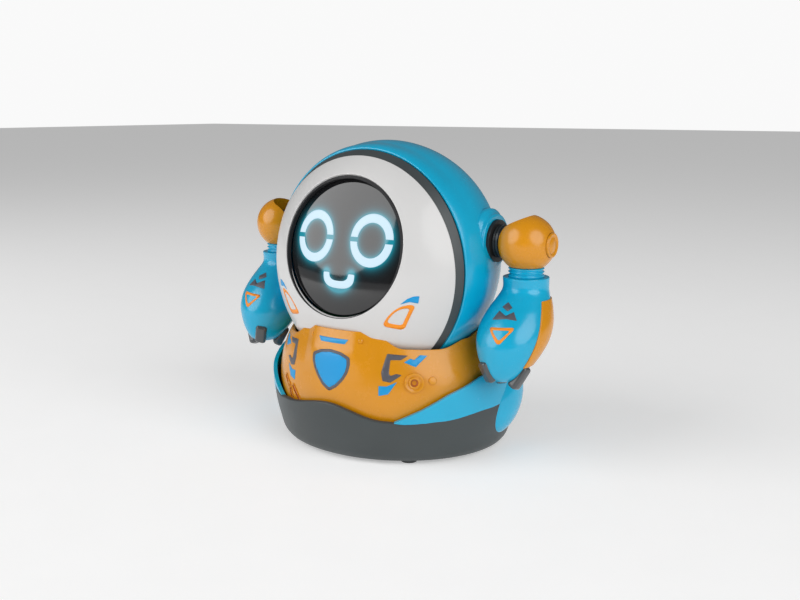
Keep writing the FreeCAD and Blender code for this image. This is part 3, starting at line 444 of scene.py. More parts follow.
def fender_skin(u, v):
    turn = FENDER_FROM + (FENDER_TO - FENDER_FROM) * u
    p = belly_point(turn, 25.0, FENDER_OUT)
    angle = degrees_from_front(p.x, p.y)
    low = eased(RIM, angle) - FENDER_TUCK  # both fenders follow the rim of the robot's left side
    high = max(low + FENDER_LEAST, straight(FENDER, angle))
    out = FENDER_TIP_OUT + (FENDER_OUT - FENDER_TIP_OUT) * smooth(angle, 34, 60)
    return belly_point(turn, low + (high - low) * v, out)


for side, word in SIDES:
    bm = skin(120, 18, fender_skin, closed=False)
    face_outwards(bm, (0, 0, 30))
    made("fender_skin_" + word, handed(bm, side), "body", blue_shell, wall=FENDER_WALL,
         edge=0.4, stands_for=["fender_" + word])


# ------------------------------------------------------------------ tail pods
# A rounded lobe beside each wheel that leans back, moulded in the same gloss blue and clipped to the
# tub. Its lowest and its inner side are flat.
POD_HALF = (10.5, 14.5, 18.5)
POD_AT = Vector((51.8, 6.6, 23.4))
POD_LEAN = math.radians(-40)
POD_LOW, POD_INNER_X = 3.2, 46.5

for side, word in SIDES:
    bm = bmesh.new()
    bmesh.ops.create_uvsphere(bm, u_segments=96, v_segments=64, radius=mm)
    bmesh.ops.scale(bm, vec=POD_HALF, verts=bm.verts)
    bmesh.ops.rotate(bm, cent=(0, 0, 0), matrix=Matrix.Rotation(POD_LEAN, 3, "X"), verts=bm.verts)
    bmesh.ops.translate(bm, vec=POD_AT * mm, verts=bm.verts)
    for at, facing in (((0, 0, POD_LOW), (0, 0, -1)), ((POD_INNER_X, 0, 0), (-1, 0, 0))):
        cut = bmesh.ops.bisect_plane(bm, geom=bm.verts[:] + bm.edges[:] + bm.faces[:], dist=0.001 * mm,
                                     plane_co=Vector(at) * mm, plane_no=facing, clear_outer=True)
        bmesh.ops.holes_fill(bm, edges=[e for e in cut["geom_cut"] if isinstance(e, bmesh.types.BMEdge)])
    made("tail_pod_skin_" + word, handed(bm, side), "body", blue_shell, edge=0.5,
         stands_for=["tail_pod_" + word])


# ------------------------------------------------------------------ white face shell
# The front of the egg-shaped head, moulded in satin white, with the round opening for the screen. It
# clips to the blue shell behind it with the dark ring between the two.
SEAM_Y, RING_WIDTH, HEAD_WALL = -26.8, 4.2, 2.2
SCREEN_RISE, SCREEN_RADIUS = 4.8, 31.4

white_shell = moulded("satin white shell", (0.67, 0.665, 0.66), 0.3, drift=0.008, grain=0.1, coat=0.15,
                      scuff=0.015)


def on_head(x, rise, sink=0.0):
    """The point of the front of the head over (x, rise), which lie square to the screen."""
    flat = (x / (HEAD_RADIUS - sink)) ** 2 + (rise / (HEAD_TALL - sink)) ** 2
    along = (HEAD_FRONT - sink) * math.sqrt(max(0.0, 1 - flat))
    return HEAD + Vector((x, 0, 0)) + head_up * rise + head_axis * along


def section(turn, sink=0.0):
    """Radius of the head's widest section, which is a little higher than it is broad."""
    return 1 / math.hypot(math.cos(turn) / (HEAD_RADIUS - sink), math.sin(turn) / (HEAD_TALL - sink))


def reach(turn, y, sink=0.0):
    """How far from the head's axis a plane across the head meets its surface."""
    far = 50.0
    for _ in range(16):
        along = (HEAD.y - y + far * math.sin(turn) * math.sin(HEAD_TILT)) / math.cos(HEAD_TILT)
        depth = (HEAD_FRONT if along > 0 else HEAD_REAR) - sink
        far = section(turn, sink) * math.sqrt(max(0.0, 1 - (along / depth) ** 2))
    return far


def face_skin(u, v):
    turn = 2 * math.pi * u
    s, c = math.sin(turn), math.cos(turn)
    far = reach(turn, SEAM_Y)
    x = (SCREEN_RADIUS + (far - SCREEN_RADIUS) * v) * c
    rise = (SCREEN_RISE + SCREEN_RADIUS * s) * (1 - v) + far * s * v
    return on_head(x, rise)


bm = skin(256, 40, face_skin)
face_outwards(bm, HEAD)
made("face_shell_skin", bm, "body", white_shell, wall=HEAD_WALL, edge=0.6,
     stands_for=["face_shell"])


# ------------------------------------------------------------------ seam ring
# A band of dark satin plastic that is clamped between the white and the blue shells and set half a
# millimetre below them.
RING_SINK, RING_DEEP, FIT = 0.5, 3.0, 0.1

dark_ring = moulded("dark satin ring", (0.05, 0.06, 0.063), 0.42, drift=0.06, grain=0.4)


def band_point(turn, y, sink):
    """A point of the head's surface, or of one that lies inside it, in a plane across the head."""
    far = reach(turn, y, sink)
    rise = far * math.sin(turn)
    along = (HEAD.y - y + rise * math.sin(HEAD_TILT)) / math.cos(HEAD_TILT)
    return HEAD + Vector((far * math.cos(turn), 0, 0)) + head_up * rise + head_axis * along


def ring_skin(u, v):
    corners = [(SEAM_Y + FIT, RING_SINK), (SEAM_Y + RING_WIDTH - FIT, RING_SINK),
               (SEAM_Y + RING_WIDTH - FIT, RING_DEEP), (SEAM_Y + FIT, RING_DEEP), (SEAM_Y + FIT, RING_SINK)]
    at = min(3, int(v * 4 + 1e-6))
    t = v * 4 - at
    (y0, d0), (y1, d1) = corners[at], corners[at + 1]
    return band_point(2 * math.pi * u, y0 + (y1 - y0) * t, d0 + (d1 - d0) * t)


bm = skin(256, 16, ring_skin)
bmesh.ops.recalc_face_normals(bm, faces=bm.faces)
made("seam_ring_band", bm, "body", dark_ring, edge=0.3, stands_for=["seam_ring"])


# ------------------------------------------------------------------ blue rear shell
# The back of the head in one gloss blue moulding, a little lower than the seam at its crown. A round
# boss with a flared foot stands out on each side and holds the bush for the arm's shaft.
BOSS_RADIUS, BOSS_LENGTH, BOSS_FLARE, BOSS_LIP = 11.7, 7.0, 2.2, 1.0
BOSS_BACK, BORE_GAP, BOSS_ROUND, BORE_ROUND = 1.4, 0.02, 0.7, 0.3
CROWN_DROP, CROWN_FADE, CROWN_LEAST = 0.045, 16, 0.3
bush_low, bush_high = node_size("shoulder_bush_left")
shoulder_z = (bush_low.z + bush_high.z) / 2
boss_face, bush_radius = bush_high.x - BOSS_BACK, (bush_high.z - bush_low.z) / 2


def rear_skin(u, v):
    turn = 2 * math.pi * u
    front_edge = SEAM_Y + RING_WIDTH
    rise = reach(turn, front_edge) * math.sin(turn)
    along = (HEAD.y - front_edge + rise * math.sin(HEAD_TILT)) / math.cos(HEAD_TILT)
    start = math.acos(along / (HEAD_FRONT if along > 0 else HEAD_REAR))
    angle = start + (math.pi - start) * v
    along = (HEAD_FRONT if angle < math.pi / 2 else HEAD_REAR) * math.cos(angle)
    far = section(turn) * math.sin(angle)
    drop = CROWN_LEAST + (1 - CROWN_LEAST) * max(0.0, math.sin(turn)) ** 2
    far *= 1 - CROWN_DROP * drop * smooth(math.degrees(angle - start), 0, CROWN_FADE)
    across = Vector((far * math.cos(turn), 0, 0))
    return HEAD + across + head_up * far * math.sin(turn) + head_axis * along


bm = skin(256, 90, rear_skin)
face_outwards(bm, HEAD)
made("rear_shell_skin", bm, "body", blue_shell, wall=HEAD_WALL, edge=0.6,
     stands_for=["rear_shell"])


def turned(profile, start, axis, steps=96):
    """A turned shape: (distance along the axis, radius) pairs in millimetres, spun once round the axis."""
    axis = Vector(axis).normalized()
    side = axis.orthogonal().normalized()
    start = Vector(start)
    bm = bmesh.new()
    line = [bm.verts.new((start + axis * a + side * r) * mm) for a, r in profile]
    edges = [bm.edges.new(pair_of) for pair_of in zip(line, line[1:])]
    bmesh.ops.spin(bm, geom=line + edges, cent=start * mm, axis=axis, angle=2 * math.pi, steps=steps,
                   use_merge=True, use_duplicate=False)
    bmesh.ops.remove_doubles(bm, verts=bm.verts, dist=0.002 * mm)
    bmesh.ops.recalc_face_normals(bm, faces=bm.faces)
    return bm


def arc(along, radius, turn_from, turn_to, size, steps=5):
    """A rounded corner in a turned profile: a piece of a circle round (along, radius)."""
    turns = [math.radians(turn_from + (turn_to - turn_from) * i / steps) for i in range(steps + 1)]
    return [(along + size * math.cos(t), radius + size * math.sin(t)) for t in turns]


inner = bush_radius + BORE_GAP
foot = BOSS_LENGTH - BOSS_LIP - BOSS_FLARE
profile = [(0, inner), (0, BOSS_RADIUS + BOSS_FLARE)]
profile += [(foot + t * BOSS_FLARE, BOSS_RADIUS + BOSS_FLARE * (1 - math.sin(t * math.pi / 2)))
            for t in (0, 0.25, 0.5, 0.75, 1)]
profile += arc(BOSS_LENGTH - BOSS_ROUND, BOSS_RADIUS - BOSS_ROUND, 90, 0, BOSS_ROUND)
profile += arc(BOSS_LENGTH - BORE_ROUND, inner + BORE_ROUND, 0, -90, BORE_ROUND, 3)[:-1] + [(0, inner)]
for side, word in SIDES:
    bm = turned(profile, (side * (boss_face - BOSS_LENGTH), 0, shoulder_z), (side, 0, 0))
    made("shoulder_boss_" + word, bm, "body", blue_shell)


# ------------------------------------------------------------------ screen
# A domed black window held behind the opening. The eyes and the smile shine through it, each with a
# soft halo, from small lights on the board behind.
LENS_RADIUS, LENS_SINK, LENS_FLAT, LENS_WALL = 30.2, 3.0, 3.2, 1.6
EYE_X, EYE_RISE, EYE_OUTER, EYE_INNER, EYE_SPLIT, EYE_NARROW = 15.0, 3.6, 11.4, 7.6, 2.0, 0.9
MOUTH_DROP, MOUTH_HALF, MOUTH_DEEP, MOUTH_THICK = 11.6, 8.3, 6.6, 3.2
SMILE_SIDE, SMILE_FOOT, SMILE_STEPS = 0.75, 0.65, 14
EYE_HALO, SMILE_HALO, LIGHT_PROUD = 1.25, 1.1, 0.12

black_lens = moulded("polished black window", (0.006, 0.006, 0.007), 0.06, drift=0.1, grain=0.02, coat=0.6,
                     scuff=0.03)


def halo(finish, colour, strength):
    """Light that leaks round the eyes and the mouth, painted by distance from their strokes."""
    tree = finish.node_tree
    shader = tree.nodes["Principled BSDF"]

    def math_node(kind, a, b=None):
        node = tree.nodes.new("ShaderNodeMath")
        node.operation = kind
        for i, value in enumerate((a, b)):
            if value is None:
                continue
            if isinstance(value, (int, float)):
                node.inputs[i].default_value = value
            else:
                tree.links.new(value, node.inputs[i])
        return node.outputs[0]

    def component(direction, offset):
        node = tree.nodes.new("ShaderNodeVectorMath")
        node.operation = "DOT_PRODUCT"
        tree.links.new(place.outputs["Object"], node.inputs[0])
        node.inputs[1].default_value = direction
        return math_node("SUBTRACT", math_node("MULTIPLY", node.outputs["Value"], 1 / mm), offset)

    def length(a, b):
        squares = math_node("ADD", math_node("MULTIPLY", a, a), math_node("MULTIPLY", b, b))
        return math_node("SQRT", squares)

    def fall(distance, width):
        outside = math_node("MAXIMUM", distance, 0.0)
        return math_node("POWER", 2.718, math_node("MULTIPLY", outside, -1 / width))

    place = tree.nodes.new("ShaderNodeTexCoord")
    across = math_node("ABSOLUTE", component((1, 0, 0), 0.0))
    rise = component(head_up, HEAD.dot(head_up) + SCREEN_RISE)
    eye_rise = math_node("SUBTRACT", rise, EYE_RISE)
    middle = (EYE_OUTER + EYE_INNER) / 2
    eye_across = math_node("MULTIPLY", math_node("SUBTRACT", across, EYE_X), 1 / EYE_NARROW)
    radial = math_node("SUBTRACT", length(eye_across, eye_rise), middle)
    eye = math_node("SUBTRACT", math_node("ABSOLUTE", radial), (EYE_OUTER - EYE_INNER) / 2)
    low = math_node("MINIMUM", math_node("ADD", rise, MOUTH_DROP), 0.0)
    high = math_node("MAXIMUM", math_node("ADD", rise, MOUTH_DROP), 0.0)
    curve = MOUTH_HALF - MOUTH_THICK / 2
    bow = math_node("ABSOLUTE", math_node("SUBTRACT", length(across, low), curve))
    tip = length(math_node("SUBTRACT", across, curve), high)
    over = math_node("GREATER_THAN", high, 0.0)
    smile = math_node("ADD", math_node("MULTIPLY", tip, over),
                      math_node("MULTIPLY", bow, math_node("SUBTRACT", 1.0, over)))
    smile = math_node("SUBTRACT", smile, MOUTH_THICK / 2)
    glow = math_node("MAXIMUM", fall(eye, EYE_HALO), fall(smile, SMILE_HALO))
    shader.inputs["Emission Color"].default_value = list(colour) + [1]
    tree.links.new(math_node("MULTIPLY", glow, strength), shader.inputs["Emission Strength"])


halo(black_lens, (0.0, 0.3, 0.4), 0.9)


def on_lens(x, y):
    """A point of the window, which is flatter than the shell round it."""
    middle = max(0.0, 1 - (x * x + y * y) / LENS_RADIUS ** 2)
    return on_head(x, SCREEN_RISE + y, LENS_SINK + LENS_FLAT * middle)


def lens_skin(u, v):
    turn = 2 * math.pi * u
    return on_lens(LENS_RADIUS * v * math.cos(turn), LENS_RADIUS * v * math.sin(turn))


bm = skin(160, 48, lens_skin)
face_outwards(bm, HEAD)
made("screen_window", bm, "body", black_lens, wall=LENS_WALL, edge=0.9, edge_steps=4,
     stands_for=["screen_lens"])

light_core = moulded("lit diffuser", (0.08, 0.1, 0.11), 0.4, drift=0.02, grain=0.05,
                     glow=((0.64, 0.84, 0.97), 0.86))


def patch(name, corners, lay, finish, body="body", soft=0.0, hollow=0.0, inner=0.0, thick=0.12,
          cell=1.3, side=1, stands_for=()):
    """A thin raised piece: a flat outline, rounded, cut to its rim or its middle, then laid on a surface."""
    bm = bmesh.new()
    bm.faces.new([bm.verts.new((x, y, 0)) for x, y in corners])
    if soft:
        bmesh.ops.bevel(bm, geom=bm.verts[:], offset=soft, affect="VERTICES", segments=5, profile=0.5,
                        material=-1)
    bm.faces.ensure_lookup_table()
    if hollow or inner:
        edge = bm.faces[0].verts[:]
        centre = sum((Vector((x, y, 0)) for x, y in corners), Vector()) / len(corners)
        half = [max(abs(v.co[axis] - centre[axis]) for v in edge) for axis in (0, 1)]
        narrow = Matrix.Diagonal([1 - (hollow or inner) / h for h in half] + [1])
        within = [centre + narrow @ (v.co - centre) for v in edge]
        if inner:
            for vert, co in zip(edge, within):
                vert.co = co
        else:
            bmesh.ops.delete(bm, geom=bm.faces[:], context="FACES_ONLY")
            within = [bm.verts.new(co) for co in within]
            for i in range(len(edge)):
                bm.faces.new((edge[i - 1], edge[i], within[i], within[i - 1]))
    bmesh.ops.triangulate(bm, faces=bm.faces)
    for axis in (0, 1):
        low, high = min(v.co[axis] for v in bm.verts), max(v.co[axis] for v in bm.verts)
        for i in range(1, int((high - low) / cell) + 1):
            at, facing = Vector((0, 0, 0)), Vector((0, 0, 0))
            at[axis], facing[axis] = low + i * cell, 1
            bmesh.ops.bisect_plane(bm, geom=bm.verts[:] + bm.edges[:] + bm.faces[:], plane_co=at,
                                   plane_no=facing)
    for vert in bm.verts:
        vert.co = Vector(lay(vert.co.x, vert.co.y)) * mm
    piece = made(name, handed(bm, side), body, finish, stands_for=stands_for)
    solid = piece.modifiers.new("thickness", "SOLIDIFY")
    solid.thickness, solid.offset = thick * mm, 1.0
    return piece


def half_eye(side, up):
    """Half a round eye: u runs along it, v from its inner to its outer edge."""
    def point(u, v):
        radius = EYE_INNER + (EYE_OUTER - EYE_INNER) * v
        low = math.asin(EYE_SPLIT / 2 / radius)
        turn = low + (math.pi - 2 * low) * u
        across = side * EYE_X + radius * EYE_NARROW * math.cos(turn)
        return on_lens(across, EYE_RISE + up * radius * math.sin(turn))
    return point


for side, word in SIDES:
    for up, place in ((1, "upper"), (-1, "lower")):
        bm = skin(64, 6, half_eye(side, up), closed=False)
        bmesh.ops.translate(bm, vec=head_axis * LIGHT_PROUD * mm, verts=bm.verts)
        face_outwards(bm, HEAD)
        made("eye_light_%s_%s" % (place, word), bm, "body", light_core, wall=LIGHT_PROUD,
             stands_for=["face_lights"])


def smile_outline():
    """A smile with round corners: flat along the bottom, its two ends turned up."""
    outline = []
    for cut, order in ((0.0, 1), (MOUTH_THICK, -1)):
        half, deep = MOUTH_HALF - cut, MOUTH_DEEP - cut
        for i in range(SMILE_STEPS + 1)[::order]:
            t = math.pi + math.pi * i / SMILE_STEPS
            c, s = math.cos(t), math.sin(t)
            x = half * math.copysign(abs(c) ** SMILE_SIDE, c)
            outline.append((x, -MOUTH_DROP - deep * abs(s) ** SMILE_FOOT))
    return outline


patch("mouth_light", smile_outline(), on_lens, light_core, soft=0.6,
      stands_for=["face_lights"])


# ------------------------------------------------------------------ marks on the face and the belly
# Shapes printed in grey, blue and orange ink on the shells: a bar and a shield on the chin panel, a
# bracket with a flash and a wedge on each side of it, and a cheek mark under each end of the screen.
ink_blue = moulded("blue print", (0.0, 0.31, 0.68), 0.35, drift=0.04, grain=0.1)
ink_orange = moulded("orange print", (0.95, 0.29, 0.006), 0.35, drift=0.04, grain=0.1)
ink_grey = moulded("grey print", (0.095, 0.095, 0.113), 0.4, drift=0.06, grain=0.15)
INK, SHIELD_RIM, CHEEK_RIM = 0.1, 1.5, 2.0
CHIN_BAR = [(-7.9, 54.3), (-6.5, 52.3), (6.5, 52.3), (7.9, 54.3)]
SHIELD_HALF = [(0, 49.6), (5.4, 48.9), (9.9, 47.0), (10.2, 44.0), (9.2, 40.4), (7.0, 36.8), (3.8, 33.4),
               (0, 31.2)]
SHIELD = [(-x, z) for x, z in SHIELD_HALF] + SHIELD_HALF[-2:0:-1]
BRACKET = [(24.4, 49.3), (23.4, 41.5), (24.3, 38.1), (27.4, 37.5), (31.3, 40.7), (29.2, 41.2), (27.2, 40.3),
           (26.4, 41.2), (26.1, 46.8), (29.9, 46.8), (32.1, 48.6)]
FLASH = [(31.2, 45.9), (35.6, 43.9), (38.3, 48.3), (35.9, 48.7), (34.5, 46.8), (33.1, 47.4)]
WEDGE = [(22.9, 35.9), (23.1, 31.6), (26.9, 32.5), (29.9, 37.8), (26.0, 35.8)]
CHEEK = [(36.6, 71.3), (32.6, 71.2), (28.7, 69.1), (25.2, 65.6), (22.5, 61.4), (30.9, 59.8)]
CRESCENT = [(30.8, 71.4), (34.4, 72.6), (37.4, 71.9), (38.0, 75.1), (36.0, 75.0), (33.6, 73.9)]


def on_belly(x, z):
    """The point of the front of the belly over (x, z)."""
    return belly_point(math.asin(x / curved(BELLY, z)[0]), z)


def on_face(x, z):
    """The point of the white shell over (x, z)."""
    rise = z - HEAD.z
    for _ in range(8):
        rise += z - on_head(x, rise).z
    return on_head(x, rise)


patch("chin_bar", CHIN_BAR, on_belly, ink_blue, soft=0.2, thick=INK)
patch("shield_rim", SHIELD, on_belly, ink_grey, soft=0.8, hollow=SHIELD_RIM, thick=INK)
patch("shield_field", SHIELD, on_belly, ink_blue, soft=0.8, inner=SHIELD_RIM, thick=INK)
for side, word in SIDES:
    patch("bracket_" + word, BRACKET, on_belly, ink_grey, soft=0.35, thick=INK, side=side)
    patch("flash_" + word, FLASH, on_belly, ink_blue, soft=0.15, thick=INK, side=side)
    patch("wedge_" + word, WEDGE, on_belly, ink_blue, soft=0.3, thick=INK, side=side)
    patch("cheek_" + word, CHEEK, on_face, ink_orange, soft=1.9, hollow=CHEEK_RIM,
          thick=INK, side=side)
    patch("cheek_crescent_" + word, CRESCENT, on_face, ink_blue, soft=0.4, thick=INK,
          side=side)


# ------------------------------------------------------------------ bosses, rivets and slots of the belly
# A round screw boss with a small stud beside it on the robot's left, two rivets on the collar, and
# three slanted slots for the speaker on its right, all in the belly's orange plastic.
SCREW_BOSS_AT, STUD_AT, RIVET_TURN, RIVET_Z = (43.4, 37.4), (52.0, 38.0), 16.6, 54.0
SLOTS = [((27.3, 26.8), (31.7, 32.4)), ((25.1, 21.3), (28.4, 29.5)), ((19.0, 22.5), (24.8, 29.4))]
SLOT_WIDE, SLOT_SOFT, SLOT_RIM, SLOT_PROUD = 2.0, 0.7, 0.5, 0.45

boss_inside = moulded("shadowed orange plastic", (0.42, 0.075, 0.01), 0.5, drift=0.1, grain=0.3)


def belly_square(turn_degrees, z):
    """A point of the belly and the direction straight out of it."""
    half, front, rear = curved(BELLY, z)
    turn = math.atan(math.tan(math.radians(turn_degrees)) * front / half)
    p = belly_point(turn, z)
    over, beside = belly_point(turn, z + 0.5) - p, belly_point(turn + 0.01, z) - p
    return p, beside.cross(over).normalized()


at, out = belly_square(*SCREW_BOSS_AT)
profile = [(-1.5, 0), (-1.5, 4.3), (0.25, 4.3)] + arc(0.35, 3.9, 90, 0, 0.4, 4)
profile += [(0.75, 3.3), (0.35, 3.0), (0.35, 2.6)] + arc(0.6, 2.2, 90, 0, 0.3, 3)
profile += [(0.9, 1.7), (-0.6, 1.3), (-0.6, 0)]
made("screw_boss", turned(profile, at, out, steps=72), "body", orange_shell)
profile = [(-0.55, 0), (-0.55, 1.32), (0.7, 1.5), (0.72, 1.2), (-0.2, 1.0), (-0.3, 0)]
made("screw_boss_hole", turned(profile, at, out, steps=48), "body", boss_inside)
at, out = belly_square(*STUD_AT)
profile = [(-1, 0), (-1, 1.8)] + arc(0.2, 1.3, 90, 0, 0.5, 5) + [(0.7, 0)]
made("small_stud", turned(profile, at, out, steps=48), "body", orange_shell)
for side, word in SIDES:
    at, out = belly_square(side * RIVET_TURN, RIVET_Z)
    profile = [(-0.6, 0), (-0.6, 1.1)] + arc(0.0, 0.5, 90, 0, 0.6, 5) + [(0.6, 0)]
    made("chin_rivet_" + word, turned(profile, at, out, steps=40), "body", orange_shell)


def bar(start, end, width):
    """Corners of a straight bar between two points."""
    along = (Vector(end) - Vector(start)).normalized()
    aside = Vector((-along.y, along.x)) * width / 2
    a, b = Vector(start), Vector(end)
    return [tuple(a - aside), tuple(b - aside), tuple(b + aside), tuple(a + aside)]


for i, (start, end) in enumerate(SLOTS, 1):
    patch("speaker_slot_%d" % i, bar(start, end, SLOT_WIDE), on_belly, boss_inside,
          soft=SLOT_SOFT, inner=SLOT_RIM, thick=0.05, side=-1)
    patch("speaker_slot_rim_%d" % i, bar(start, end, SLOT_WIDE), on_belly, orange_shell,
          soft=SLOT_SOFT, hollow=SLOT_RIM, thick=SLOT_PROUD, side=-1)


# ------------------------------------------------------------------ shoulders
# A dark ribbed shaft leaves each boss and ends in a knuckle inside the orange ball. The ball is two
# halves screwed over a cross pin, with a round cap on its outer side.
black_shaft = moulded("dark nylon shaft", (0.026, 0.032, 0.036), 0.32, drift=0.1, grain=0.3)

dressed(black_shaft, *pair("shoulder_shaft"), *pair("shoulder_hub"))
dressed(orange_shell, *pair("ball_front"), *pair("ball_back"))

cap_low, cap_high = node_size("ball_cap_left")
cap_radius, cap_thick = (cap_high.y - cap_low.y) / 2, cap_high.x - cap_low.x
CAP_ROUND = 0.5
profile = [(0, 0), (0, cap_radius)]
profile += arc(cap_thick - CAP_ROUND, cap_radius - CAP_ROUND, 90, 0, CAP_ROUND, 4)
profile += [(cap_thick - 0.02, cap_radius - 1.3), (cap_thick - 0.5, cap_radius - 1.7)]
profile += [(cap_thick - 0.4, cap_radius - 1.9), (cap_thick - 0.12, cap_radius - 2.4), (cap_thick, 0)]
for side, word in SIDES:
    bm = turned(profile, (side * cap_low.x, 0, shoulder_z), (side, 0, 0), steps=64)
    made("ball_cap_disc_" + word, bm, "upper_arm_" + word, orange_shell,
         stands_for=["ball_cap_" + word])


# ------------------------------------------------------------------ necks
# A ribbed blue collar joins each ball to its forearm, moulded in one with a headed stem that turns
# inside the ball.
neck_low, neck_high = node_size("neck_left")
NECK_RADIUS, NECK_TALL, STEM_RADIUS, STEM_HEAD, HEAD_THICK = 7.75, 4.2, 2.5, 4.0, 0.9
RIB_PITCH, RIB_ROUND, RIB_DEEP, NECK_ROUND = 1.5, 0.45, 0.75, 0.6
shoulder_x = (neck_low.x + neck_high.x) / 2
arm_top = neck_low.z
stem_tall = neck_high.z - arm_top
head_foot = stem_tall - HEAD_THICK

profile = [(0, 0), (0, NECK_RADIUS)]
for rib in (0.0, RIB_PITCH):
    profile += arc(0.65 + rib, NECK_RADIUS - RIB_ROUND, 90, 40, RIB_ROUND, 3)
    profile += [(1.15 + rib, NECK_RADIUS - RIB_DEEP), (1.55 + rib, NECK_RADIUS - RIB_DEEP)]
profile += arc(NECK_TALL - NECK_ROUND, NECK_RADIUS - NECK_ROUND, 90, 0, NECK_ROUND, 5)
profile += [(NECK_TALL, STEM_RADIUS), (head_foot, STEM_RADIUS), (head_foot, STEM_HEAD)]
profile += [(stem_tall - 0.25, STEM_HEAD - 0.15), (stem_tall, STEM_HEAD - 0.6), (stem_tall, 0)]
for side, word in SIDES:
    bm = turned(profile, (side * shoulder_x, 0, arm_top), (0, 0, 1))
    made("neck_collar_" + word, bm, "forearm_" + word, blue_shell, stands_for=["neck_" + word])


# ------------------------------------------------------------------ forearms
# Gloss blue egg-shaped forearms that lean forward as they go down. Each has an orange cover snapped on
# its outer and rear side, where it sits a little proud.
ARM_LENGTH = 42.0
ARM_END = 0.05
# each row: share of the length, shift in x and y, half width, half depth
ARM = [(0.0, 0.0, 0.0, 10.0, 10.0), (0.12, 0.0, 0.0, 10.0, 10.0), (0.215, 0.0, -2.0, 11.4, 12.0),
       (0.31, -0.2, -4.3, 13.2, 14.2), (0.455, -0.5, -7.4, 15.0, 16.2), (0.6, -0.8, -10.0, 15.0, 16.4),
       (0.74, -1.1, -12.4, 13.2, 14.4), (0.86, -1.2, -14.4, 10.4, 11.6), (0.955, -1.2, -15.8, 7.4, 8.4),
       (1.0, -1.2, -16.3, 5.0, 5.6)]
COVER_FROM, COVER_TO = math.radians(-22), math.radians(128)
COVER_TOP, COVER_LOW, COVER_PROUD, COVER_WALL = 72.5, 45.5, 0.6, 1.1
arm_middle = (shoulder_x, -8, 62)


def arm_point(turn, down, grow=0.0, part=1.0):
    """A point of the left forearm: turn from straight out, down from 0 at the top to 1 at the tip."""
    dx, dy, half_x, half_y = curved(ARM, down)
    return Vector((shoulder_x + dx + (half_x + grow) * part * math.cos(turn),
                   dy + (half_y + grow) * part * math.sin(turn), arm_top - ARM_LENGTH * down))


def forearm_skin(u, v):
    """The whole closed forearm, with a flat disc at its top and at its tip."""
    turn = 2 * math.pi * u
    if v < ARM_END:
        return arm_point(turn, 0.0, part=v / ARM_END)
    if v > 1 - ARM_END:
        tip = (v - 1 + ARM_END) / ARM_END
        return arm_point(turn, 1.0, part=math.cos(tip * math.pi / 2))
    return arm_point(turn, (v - ARM_END) / (1 - 2 * ARM_END))


for side, word in SIDES:
    bm = skin(160, 100, forearm_skin)
    face_outwards(bm, arm_middle)
    bmesh.ops.recalc_face_normals(bm, faces=bm.faces)
    made("forearm_body_" + word, handed(bm, side), "forearm_" + word, blue_shell, edge=0.6,
         stands_for=["forearm_shell_" + word])


def cover_skin(u, v):
    down = (arm_top - COVER_TOP + (COVER_TOP - COVER_LOW) * v) / ARM_LENGTH
    return arm_point(COVER_FROM + (COVER_TO - COVER_FROM) * u, down, COVER_PROUD)


for side, word in SIDES:
    bm = skin(72, 48, cover_skin, closed=False)
    face_outwards(bm, arm_middle)
    made("forearm_cover_" + word, handed(bm, side), "forearm_" + word, orange_shell,
         wall=COVER_WALL, edge=0.4, stands_for=["forearm_panel_" + word])


# ------------------------------------------------------------------ marks on the forearms
# Shapes printed in ink on the front of each forearm: a grey arrowhead with a diamond over it, and an
# orange outlined triangle below them.
DIAMOND = [(67.5, 72.0), (65.7, 70.1), (69.1, 68.8), (70.4, 70.2)]
ARROW = [(63.3, 65.1), (69.9, 66.1), (74.2, 65.7), (71.8, 68.8), (69.1, 67.2), (65.2, 68.7)]
TRIANGLE = [(75.0, 63.2), (63.0, 62.4), (69.5, 55.6)]
TRIANGLE_RIM = 1.7


def on_arm(x, z):
    """The point of the front of the left forearm over (x, z)."""
    down = (arm_top - z) / ARM_LENGTH
    dx, dy, half_x, half_y = curved(ARM, down)
    return arm_point(-math.acos(max(-1.0, min(1.0, (x - shoulder_x - dx) / half_x))), down)


for side, word in SIDES:
    arm = "forearm_" + word
    for shape, corners in (("arm_diamond_", DIAMOND), ("arm_arrow_", ARROW)):
        patch(shape + word, corners, on_arm, ink_grey, body=arm, soft=0.2, thick=INK, side=side)
    patch("arm_triangle_" + word, TRIANGLE, on_arm, ink_orange, body=arm, soft=1.8,
          hollow=TRIANGLE_RIM, thick=INK, side=side)


# ------------------------------------------------------------------ claws
# Three blunt dark nails on the end of each forearm, moulded as chunky bars with rounded edges and
# pressed into the blue shell.
claw_gloss = moulded("gloss dark grey claw", (0.07, 0.075, 0.078), 0.2, drift=0.08, grain=0.1, coat=0.4)
CLAW_WIDE, CLAW_DEEP, CLAW_EXTRA, CLAW_ROUND = 5.4, 4.6, 4.4, 1.5
CLAW_CENTRE = Vector((-1.2, -16.0, 0))
arm_tip = arm_top - ARM_LENGTH
CLAWS = [((-5.9, -24.0, 6.6), (-4.2, -22.8, 1.9)), ((7.7, -15.8, 4.8), (4.8, -17.4, -0.9)),
         ((-7.0, -9.0, 3.6), (-5.0, -11.0, -1.6))]


